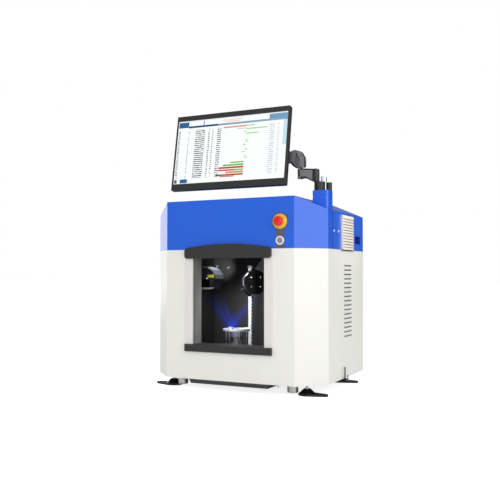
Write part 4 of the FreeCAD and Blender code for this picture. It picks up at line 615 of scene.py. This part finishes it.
# Each insert's grey paints the shade in its slot.
insert = block((399.0, vent_middle_y - vent_half - 1, vent_top_z - 4.5),
               (400.4, vent_middle_y + vent_half + 1, vent_top_z + 4.5), 0.6)
pick(insert, lambda place, normal: normal.x > 0.9)
bpy.ops.mesh.inset(thickness=1.6 * mm, depth=-0.3 * mm)
bpy.ops.object.mode_set(mode="OBJECT")
for count in range(vent_total):
    slot_frame = again(insert)
    slot_frame.location.z = -count * vent_pitch * mm
    settle(slot_frame, f"vent_insert_{count + 1}", "cabinet", vent_shade_grey)
bpy.data.objects.remove(insert)
print("vent pieces", 1 + vent_total)

# %% [markdown]
# The short link of the arm is a die casting: dark edges all round, and a lighter field on each side. It
# starts as a circle round the elbow whose right half is pushed over to the post, which gives a stadium.
# That is extruded to its height and cut in two places. The end at the post is then lowered, below in one
# step and above in small ones, so the link drops towards the post as the real one does. The side fields
# are inset and sunk a little.

# %% Short link of the arm
post_x, bore_radius = 338.5, 13.0
link_low, link_top, post_low = 880.0, 920.5, 861.6
first_cut, second_cut = 294.0, 330.0
top_drops = [(293, -2.0), (329, -3.2), (343, -2.2), (348, -3.6), (350.5, -4.0)]
link = circle(64, bore_radius, (elbow.x, elbow.y, link_low))
shift(link, lambda place, normal: place.x > elbow.x + 0.1, post_x - elbow.x, 0, 0)
pick(link, lambda place, normal: True)
extrude(0, 0, link_top - link_low)
bpy.ops.mesh.select_all(action="SELECT")
bpy.ops.mesh.normals_make_consistent(inside=False)
for cut in (first_cut, second_cut):
    bpy.ops.mesh.select_all(action="SELECT")
    bpy.ops.mesh.bisect(plane_co=(cut * mm, 0, 0), plane_no=(1, 0, 0))
bpy.ops.object.mode_set(mode="OBJECT")
shift(link, lambda place, normal: place.z < link_low + 1 and place.x > second_cut - 1,
      0, 0, post_low - link_low)
for start, drop in top_drops:
    shift(link, lambda place, normal: place.z > (link_low + link_top) / 2 and place.x > start, 0, 0, drop)
modify(link, "BEVEL", width=1.6 * mm, segments=3, limit_method="ANGLE", angle_limit=math.radians(40))
for side in (-1, 1):
    pick(link, lambda place, normal: normal.y * side > 0.99 and place.x < second_cut - 1)
    bpy.ops.mesh.inset(thickness=4.2 * mm, depth=-0.5 * mm)
    bpy.ops.object.mode_set(mode="OBJECT")
    for face in link.data.polygons:
        if face.select:
            face.material_index = 1
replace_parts(settle(link, "short_link", "arm_lower", edge_cast, arm_cast), "lower_link")

# %% [markdown]
# The elbow above it carries the spring. A plate lies on each cheek, drawn as an outline along the arm and
# up, and then extruded. Slanting dark ribs stand on the front one, the spring's adjuster ends in a black
# cap that points down to the left, two small screws hold the pin, and a block is the root of the long
# link. All are made in the arm's own directions and turned into place.

# %% Elbow details
heading = Vector((-math.cos(arm_yaw), math.sin(arm_yaw), 0))
plate_outline = [(44, 992), (13, 990.5), (-3, 982.5), (-13, 971), (-16, 957), (-16, 928), (6, 926), (36, 952),
                 (44, 950)]
plate_offset, plate_thickness = 17.6, 1.2
rib_places = [(8, 981, 6), (5, 972, 12), (3, 962, 16), (4, 951, 18), (8, 941, 15)]
pin_screws = [(275.4, -163.2, 933.4), (281.5, -157.6, 926.6)]
rib_slant = Matrix.Rotation(math.radians(-45), 4, "Y")
arm_space = Matrix.Translation(elbow * mm) @ Matrix((heading, cheek_front, (0, 0, 1))).transposed().to_4x4()


def cheek_plate(name, side, outline):
    """A plate on one cheek of the elbow. The outline runs along the arm and up, from the elbow's axis."""
    plate = circle(len(outline), 20, (0, 0, 0))
    for index, (along, height) in enumerate(outline):
        alone(plate)
        bpy.ops.object.mode_set(mode="EDIT")
        bpy.ops.mesh.select_mode(type="VERT")
        bpy.ops.mesh.select_all(action="DESELECT")
        bpy.ops.object.mode_set(mode="OBJECT")
        corner = plate.data.vertices[index]
        corner.select = True
        bpy.ops.object.mode_set(mode="EDIT")
        bpy.ops.transform.translate(value=Vector((along, side * plate_offset, height)) * mm - corner.co)
        bpy.ops.object.mode_set(mode="OBJECT")
    pick(plate, lambda place, normal: True)
    extrude(0, side * plate_thickness, 0)
    bpy.ops.mesh.select_all(action="SELECT")
    bpy.ops.mesh.normals_make_consistent(inside=False)
    bpy.ops.object.mode_set(mode="OBJECT")
    modify(plate, "BEVEL", width=0.5 * mm, segments=2)
    plate.matrix_world = arm_space
    return settle(plate, name, "arm_elbow", arm_cast)


for name, side in (("front_cheek_plate", 1), ("rear_cheek_plate", -1)):
    cheek_plate(name, side, plate_outline)
for count, (along, height, reach) in enumerate(rib_places, 1):
    rib = block((-reach, -0.8, -1.6), (reach, 0.8, 1.6), 0.6)
    rib_place = Vector((along, plate_offset + plate_thickness, height)) * mm
    rib.matrix_world = arm_space @ Matrix.Translation(rib_place) @ rib_slant
    settle(rib, f"cheek_rib_{count}", "arm_elbow", shade_and_rib_black)
cap_place = elbow + heading * 26.5 + Vector((0, 0, 939.5))
cap_rings = [(16.2, -1.0), (16.6, -0.6), (16.6, 5.0), (16.0, 6.0), (12.0, 6.4), (6.0, 6.4), (5.6, 5.0),
             (1.0, 5.0)]
cap = aim(turned(cap_rings, 48), cap_place, heading - Vector((0, 0, 1)))
settle(cap, "spring_cap", "arm_elbow", cap_nylon)
root = block((36, -7.3, 955), (58, 7.3, 997), 2.0)
root.matrix_world = arm_space
settle(root, "link_root", "arm_upper", arm_cast)
for count, place in enumerate(pin_screws, 1):
    pin_head = aim(turned([(2.2, 0), (2.2, 0.5), (1.7, 1.0), (0.8, 1.3)], 20), place, (0.45, -0.9, 0))
    settle(pin_head, f"elbow_set_screw_{count}", "arm_elbow", bright_steel)
print("ribs", len(rib_places), "screws", len(pin_screws))

# %% [markdown]
# The clamp knob beside the arm's post is turned with finger grooves. The levelling feet stand on threaded
# studs: a thread is a small triangle that the Screw modifier winds up the stud.

# %% Clamp knob and threads
knob_rings = [(2.5, 849.5), (2.5, 861.4), (4.2, 861.6), (5.0, 862.6), (5.0, 865.4), (4.2, 866.2),
              (4.2, 867.2), (5.0, 868.0), (5.0, 870.8), (4.2, 871.6), (4.2, 872.6), (5.0, 873.4),
              (5.0, 876.2), (4.2, 877.0), (4.2, 878.0), (5.0, 878.8), (5.0, 882.4), (4.4, 883.6),
              (3.4, 884.0)]
knob_middle = sum(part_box("clamp_knob"), Vector()) / 2 / mm
knob = aim(turned(knob_rings, 40), (knob_middle.x, knob_middle.y, 0))
settle(knob, "grooved_knob", "cabinet", knob_steel)
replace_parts(knob, "clamp_knob")

thread_pitch, thread_turns, thread_steps = 1.75, 6, 24
stud_radius, thread_foot = 6.0, 34.5
foot_places = [(x, y) for x in (-314, 314) for y in (-196, 196)]
for count, (x, y) in enumerate(foot_places, 1):
    thread = circle(3, 0.8, (stud_radius, 0, thread_foot), "NOTHING",
                    rotation=(math.radians(90), 0, math.radians(-90)))
    modify(thread, "SCREW", angle=math.radians(360), screw_offset=thread_pitch * mm,
           iterations=thread_turns, steps=thread_steps, render_steps=thread_steps, use_merge_vertices=True)
    settle(aim(thread, (x, y, 0)), f"stud_thread_{count}", "cabinet", turned_steel)
print("threads", len(foot_places))

# %% [markdown]
# The white column behind the table has a row of tapped holes in its right side. Black nylon discs stand
# in the holes and paint the shade inside them, as a row of dark dots along the bright edge.

# %% Painted shade in the column's holes
# Dark discs in the column's holes paint the shade inside them.
hole_shade_disc = turned([(3.9, -0.5), (3.9, 0.3), (3.4, 0.7), (1.2, 0.8)], 24)
hole_count, hole_pitch, first_hole_z = 25, 16.0, 120.0
for count in range(hole_count):
    place = (-84, 112.5, first_hole_z + count * hole_pitch)
    settle(aim(again(hole_shade_disc), place, RIGHT), f"column_hole_shade_{count + 1}", "cabinet", cap_nylon)
bpy.data.objects.remove(hole_shade_disc)
print("hole_shade_discs", hole_count)

# %% [markdown]
# The optical heads get what makes them read as instruments. The left one has an anodised ring round its
# lens, a bulging front glass, a lip under its visor whose light grey paints the highlight along its lower
# rim, a blank coloured tag and a status light.

# %% Left head
left_face_y = -178.0
left_eye = sum(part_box("left_head_lens"), Vector()) / 2 / mm
left_face = (left_eye.x, left_face_y, left_eye.z)
lens_ring = turned([(14.5, -0.5), (14.5, 0.8), (13.8, 1.3), (12.4, 1.3), (11.8, 0.8), (11.6, 0.2),
                    (0.8, 0.2)], 64)
settle(aim(lens_ring, left_face, FRONT), "left_lens_ring", "left_head", teal_anodised)
dome = turned([(11.5, 0.2), (11.1, 0.9), (10.0, 1.8), (8.0, 2.6), (5.2, 3.1), (2.0, 3.3)], 48)
settle(aim(dome, left_face, FRONT), "left_lens_dome", "left_head", lens_glass)
# The lip's light grey paints the highlight along the visor's lower rim.
lip = block((-257, left_face_y - 1.6, 417.6), (-137, left_face_y + 26, 426.6))
shift(lip, lambda place, normal: place.x > -140 and place.z < 418, -6, 0, 0)
settle(modify(lip, "BEVEL", width=2.4 * mm, segments=4), "visor_lip", "left_head", lip_highlight_grey)
tag = block((-156, left_face_y - 0.5, 469), (-125, left_face_y + 0.4, 482), 0.3)
settle(tag, "blank_tag", "left_head", tag_vinyl)
lamp_dome = turned([(2.4, 0), (2.4, 0.5), (2.0, 1.1), (1.2, 1.5), (0.4, 1.6)], 24)
settle(aim(lamp_dome, (-159.5, left_face_y, 466), FRONT), "status_light", "left_head", status_led)
print("left head pieces", ["left_lens_ring", "left_lens_dome", "visor_lip", "blank_tag", "status_light"])

# %% [markdown]
# The right head is closed by a round black cover that faces 37 degrees to the right. Four screws hold it,
# a smaller size of the button-head screw. A step runs round inside them, and a thin ring in the bracket's
# lighter grey round the edge paints the highlight on the drum's rim.

# %% Right head
right_turn = math.radians(37)
cover_front = Vector((math.sin(right_turn), -math.cos(right_turn), 0))
cover_across = Vector((math.cos(right_turn), math.sin(right_turn), 0))
cover_middle = sum(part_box("right_head_cover"), Vector()) / 2 / mm
cover_half, screw_offset = 3.5, 20.0
small_size = (0.62, 0.62, 0.8)
cover_face = cover_middle + cover_front * cover_half
corner_signs = [(side, level) for side in (-1, 1) for level in (-1, 1)]
for count, (side, level) in enumerate(corner_signs, 1):
    place = cover_face + (cover_across * side + Vector((0, 0, level))) * screw_offset
    small_screw = aim(again(screw), place, cover_front)
    small_screw.scale = small_size
    settle(small_screw, f"right_cover_screw_{count}", "right_head", pale_zinc)
bpy.data.objects.remove(screw)
step_rings = [(34.0, -0.3), (34.0, 0.6), (33.4, 1.1), (31.4, 1.1), (30.8, 0.5), (30.8, -0.3)]
settle(aim(turned(step_rings, 72), cover_face, cover_front), "right_cover_step", "right_head", cover_abs)
# A light grey ring round the cover's edge paints the highlight on the drum's rim.
rim_highlight_rings = [(52.4, -8.4), (53.1, -8.2), (53.4, -7.6), (53.1, -7.0), (52.4, -6.8)]
settle(aim(turned(rim_highlight_rings, 96), cover_face, cover_front), "right_cover_rim_highlight", "right_head", head_arm_coat)
print("right head screws", len(corner_signs))

# %% [markdown]
# The camera stands where the photographer stood: in front and to the right, a little below the middle,
# looking slightly up. Its place, its turn and its focal length in pixels were fitted to the cabinet's
# straight edges.

# %% Camera
camera_place = Vector((1.348, -2.813, 0.488))
camera_yaw = math.radians(26.24)
camera_pitch = math.radians(1.92)
focal_pixels = 695.3
picture_pixels = 500
sensor = 36.0

camera_data = bpy.data.cameras.new("camera")
camera_data.sensor_width = sensor
camera_data.lens = focal_pixels / picture_pixels * sensor
camera_data.clip_start = 0.05
camera_data.clip_end = 100
camera = bpy.data.objects.new("camera", camera_data)
camera.location = camera_place
camera.rotation_euler = (math.radians(90) + camera_pitch, 0, camera_yaw)
bpy.context.scene.collection.objects.link(camera)
bpy.context.scene.camera = camera
print("lens", round(camera_data.lens, 2))

# %% [markdown]
# A photograph of a product is lit by large soft boxes. The strongest ones stand in front and on the right,
# so the cut corner is the lightest face and the front and the side fall off on either side of it. A
# flagged spot adds to the blue cover and the mast alone, because blue paint returns less light than white.
# The camera doesn't see the lamps.

# %% Light
soft_boxes = [
    ("chamfer_light", (3.0, -1.5, 0.9), (0, 0, 0.5), 20, (1.6, 1.6)),
    ("front_light", (1.2, -3.6, 1.5), (0.1, 0, 0.5), 27, (2.2, 1.8)),
    ("left_light", (-2.8, 1.3, 1.0), (0, 0, 0.5), 14, (1.6, 1.6)),
    ("top_light", (0, 0.3, 3.4), (0, 0, 0.8), 15, (2.6, 2.6)),
]


def lamp_at(name, kind, place, target, power, body=None, **settings):
    """A lamp at a place in metres, turned to a target. It rides on a body where one is named."""
    lamp = bpy.data.lights.new(name, kind)
    lamp.energy = power
    for key, value in settings.items():
        setattr(lamp, key, value)
    stand = bpy.data.objects.new(name, lamp)
    stand.location = place
    stand.rotation_euler = (Vector(target) - Vector(place)).to_track_quat("-Z", "Y").to_euler()
    stand.visible_camera = False
    bpy.context.scene.collection.objects.link(stand)
    if body:
        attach(stand, body)
    return stand


for name, place, target, power, (width, height) in soft_boxes:
    lamp_at(name, "AREA", place, target, power, shape="RECTANGLE", size=width, size_y=height)
lamp_at("cover_spot", "SPOT", (2.3, -0.1, 1.4), (0.4, 0.06, 0.74), 48,
        spot_size=math.radians(17), spot_blend=0.9, shadow_soft_size=0.15)
print("soft boxes", len(soft_boxes))

# %% [markdown]
# A white strip under the chamber's ceiling lights the inside, as such machines have. Two small spots
# behind the heads reach what the heads would shade: the bracket's screws and the top of the column. The
# heads throw blue light on the fixture: a spot lamp in each gives the tint, and it rides with its head.

# %% Light inside the chamber
ring_low, ring_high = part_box("fixture_ring")
beam_rise, lens_gap = 20 * mm, 30 * mm
meeting = Vector(((ring_low.x + ring_high.x) / 2, (ring_low.y + ring_high.y) / 2, ring_high.z + beam_rise))
beam_blue = linear("#1240ff")[:3]

lamp_at("strip_light", "AREA", (-0.12, -0.15, 0.565), (-0.08, -0.04, 0.2), 1.3, "cabinet", shape="RECTANGLE",
        size=0.2, size_y=0.05, spread=math.radians(110))
lamp_at("screw_light", "SPOT", (-0.24, 0.02, 0.50), (-0.282, 0.192, 0.517), 1.0, "cabinet",
        spot_size=math.radians(50), spot_blend=0.9, shadow_soft_size=10 * mm)
lamp_at("column_light", "SPOT", (-0.10, -0.05, 0.55), (-0.092, 0.11, 0.44), 1.2, "cabinet",
        spot_size=math.radians(50), spot_blend=0.8, shadow_soft_size=10 * mm)
left_lens = left_eye * mm
right_lens = sum(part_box("right_head_lens"), Vector()) / 2
for name, place, body in (("left_beam", left_lens, "left_head"), ("right_beam", right_lens, "right_head")):
    start = place + (meeting - place).normalized() * lens_gap
    lamp_at(name, "SPOT", start, meeting, 1.0, body, color=beam_blue,
            spot_size=math.radians(40), spot_blend=0.6, shadow_soft_size=4 * mm)
print("meeting point", [round(c, 3) for c in meeting])

# %% [markdown]
# The haze of the beams is light as well, so it is drawn by thin lamps that the camera sees: a broad one
# and a narrow one from each head, brightest where the beams meet above the fixture. A lamp that the camera
# sees is added to what lies behind it, as haze is, and hides nothing. A lamp's own coordinates run from 0
# to 1, so the strength can rise along the beam and fade towards its sides.

# %% Haze of the beams
sheet_front = Vector((0.40, -0.91, 0.0))


def light_sheet(name, start, end, width, power, body):
    """A thin lamp that the camera sees, dark at its start, brightest at its end and soft at its sides."""
    start, end = Vector(start) * mm, Vector(end) * mm
    middle = (start + end) / 2
    along = (end - start).normalized()
    facing = (sheet_front - along * sheet_front.dot(along)).normalized()
    sheet = lamp_at(name, "AREA", middle, middle + facing, power, body,
                    shape="RECTANGLE", size=width * mm, size_y=(end - start).length)
    turn = Matrix((along.cross(-facing), along, -facing)).transposed()
    sheet.matrix_world = Matrix.Translation(middle) @ turn.to_4x4()
    sheet.visible_camera = True
    sheet.visible_diffuse = sheet.visible_glossy = False
    sheet.data.color = linear("#0a3cff")[:3]
    sheet.data.use_nodes = True
    tree = sheet.data.node_tree
    spot = add(tree, "SeparateXYZ", {"Vector": add(tree, "NewGeometry").outputs["Parametric"]})
    off_centre = add(tree, "Math", {0: spot.outputs["X"], 1: 0.5}, operation="SUBTRACT")
    distance = add(tree, "Math", {0: off_centre.outputs[0]}, operation="ABSOLUTE")
    fade = {"Value": distance.outputs[0], "From Max": 0.5, "To Min": 1.0, "To Max": 0.0}
    soft = add(tree, "MapRange", fade, interpolation_type="SMOOTHSTEP")
    rise = add(tree, "Math", {0: spot.outputs["Y"], 1: 2.0}, operation="POWER")
    glow = add(tree, "Math", {0: soft.outputs["Result"], 1: rise.outputs[0]}, operation="MULTIPLY")
    tree.links.new(glow.outputs[0], tree.nodes["Emission"].inputs["Strength"])
    return sheet


light_sheet("left_haze", (-228, -62, 412), (-88, -62, 246), 88, 0.016, "left_head")
light_sheet("right_haze", (56, -62, 424), (-104, -62, 250), 66, 0.013, "right_head")
light_sheet("left_scan_line", (-158.6, -62, 430.9), (-104, -62, 286), 4, 0.0012, "left_head")
light_sheet("right_scan_line", (43.6, -62, 419.4), (-60, -62, 306), 3, 0.001, "right_head")

# %% [markdown]
# The room is white for the camera, and only a gentle fill for the object. For mirrored rays it runs from
# bright on the right to dim on the left, with one dark corner behind on the right, so edges and round
# parts get a light side and a dark side. The floor is white and lifted for the camera alone, so it keeps
# the object's soft shadow.

# %% White room
room = bpy.data.worlds.new("white_room")
bpy.context.scene.world = room
room.use_nodes = True
sky = room.node_tree
sky.nodes.clear()
rays = add(sky, "LightPath")
fill_level = 0.74
bright_side, dark_corner = Vector((0.93, -0.36, 0)), Vector((0.5, 0.86, 0))
outward = add(sky, "TexCoord").outputs["Generated"]
rightward = add(sky, "VectorMath", {0: outward, 1: bright_side}, operation="DOT_PRODUCT").outputs["Value"]
by_side = {"Value": rightward, "From Min": -1.0, "To Min": 0.12, "To Max": 0.8}
side_level = add(sky, "MapRange", by_side).outputs["Result"]
toward = add(sky, "VectorMath", {0: outward, 1: dark_corner}, operation="DOT_PRODUCT").outputs["Value"]
by_corner = {"Value": toward, "From Min": 0.62, "From Max": 0.92, "To Min": side_level, "To Max": 0.06}
mirror_level = add(sky, "MapRange", by_corner).outputs["Result"]
by_ray = {"Value": rays.outputs["Is Glossy Ray"], "To Min": fill_level, "To Max": mirror_level}
dim = add(sky, "MapRange", by_ray)
straight = {0: rays.outputs["Is Camera Ray"], 1: rays.outputs["Is Transmission Ray"]}
seen = add(sky, "Math", straight, operation="MAXIMUM")
glow = add(sky, "MapRange", {"Value": seen.outputs[0], "To Min": dim.outputs["Result"], "To Max": 1.0})
background = add(sky, "Background", {"Color": linear("#ffffff"), "Strength": glow.outputs["Result"]})
add(sky, "OutputWorld", {"Surface": background.outputs[0]})

floor_lift = 0.82
bpy.ops.mesh.primitive_plane_add(size=60, location=(0, 0, 0))
floor = bpy.context.object
floor.name = "floor"
floor_paint = bpy.data.materials.new("floor_white")
floor_paint.use_nodes = True
tree = floor_paint.node_tree
shader = tree.nodes["Principled BSDF"]
shader.inputs["Base Color"].default_value = linear("#f2f2f2")
shader.inputs["Roughness"].default_value = 0.9
shader.inputs["Emission Color"].default_value = linear("#ffffff")
rays = add(tree, "LightPath")
lift = add(tree, "Math", {0: rays.outputs["Is Camera Ray"], 1: floor_lift}, operation="MULTIPLY")
tree.links.new(lift.outputs[0], shader.inputs["Emission Strength"])
floor.data.materials.append(floor_paint)
print("stage", floor.name)

# %% [markdown]
# The Standard view keeps each colour as it was picked.

# %% Colour management
bpy.context.scene.view_settings.view_transform = "Standard"
bpy.context.view_layer.update()
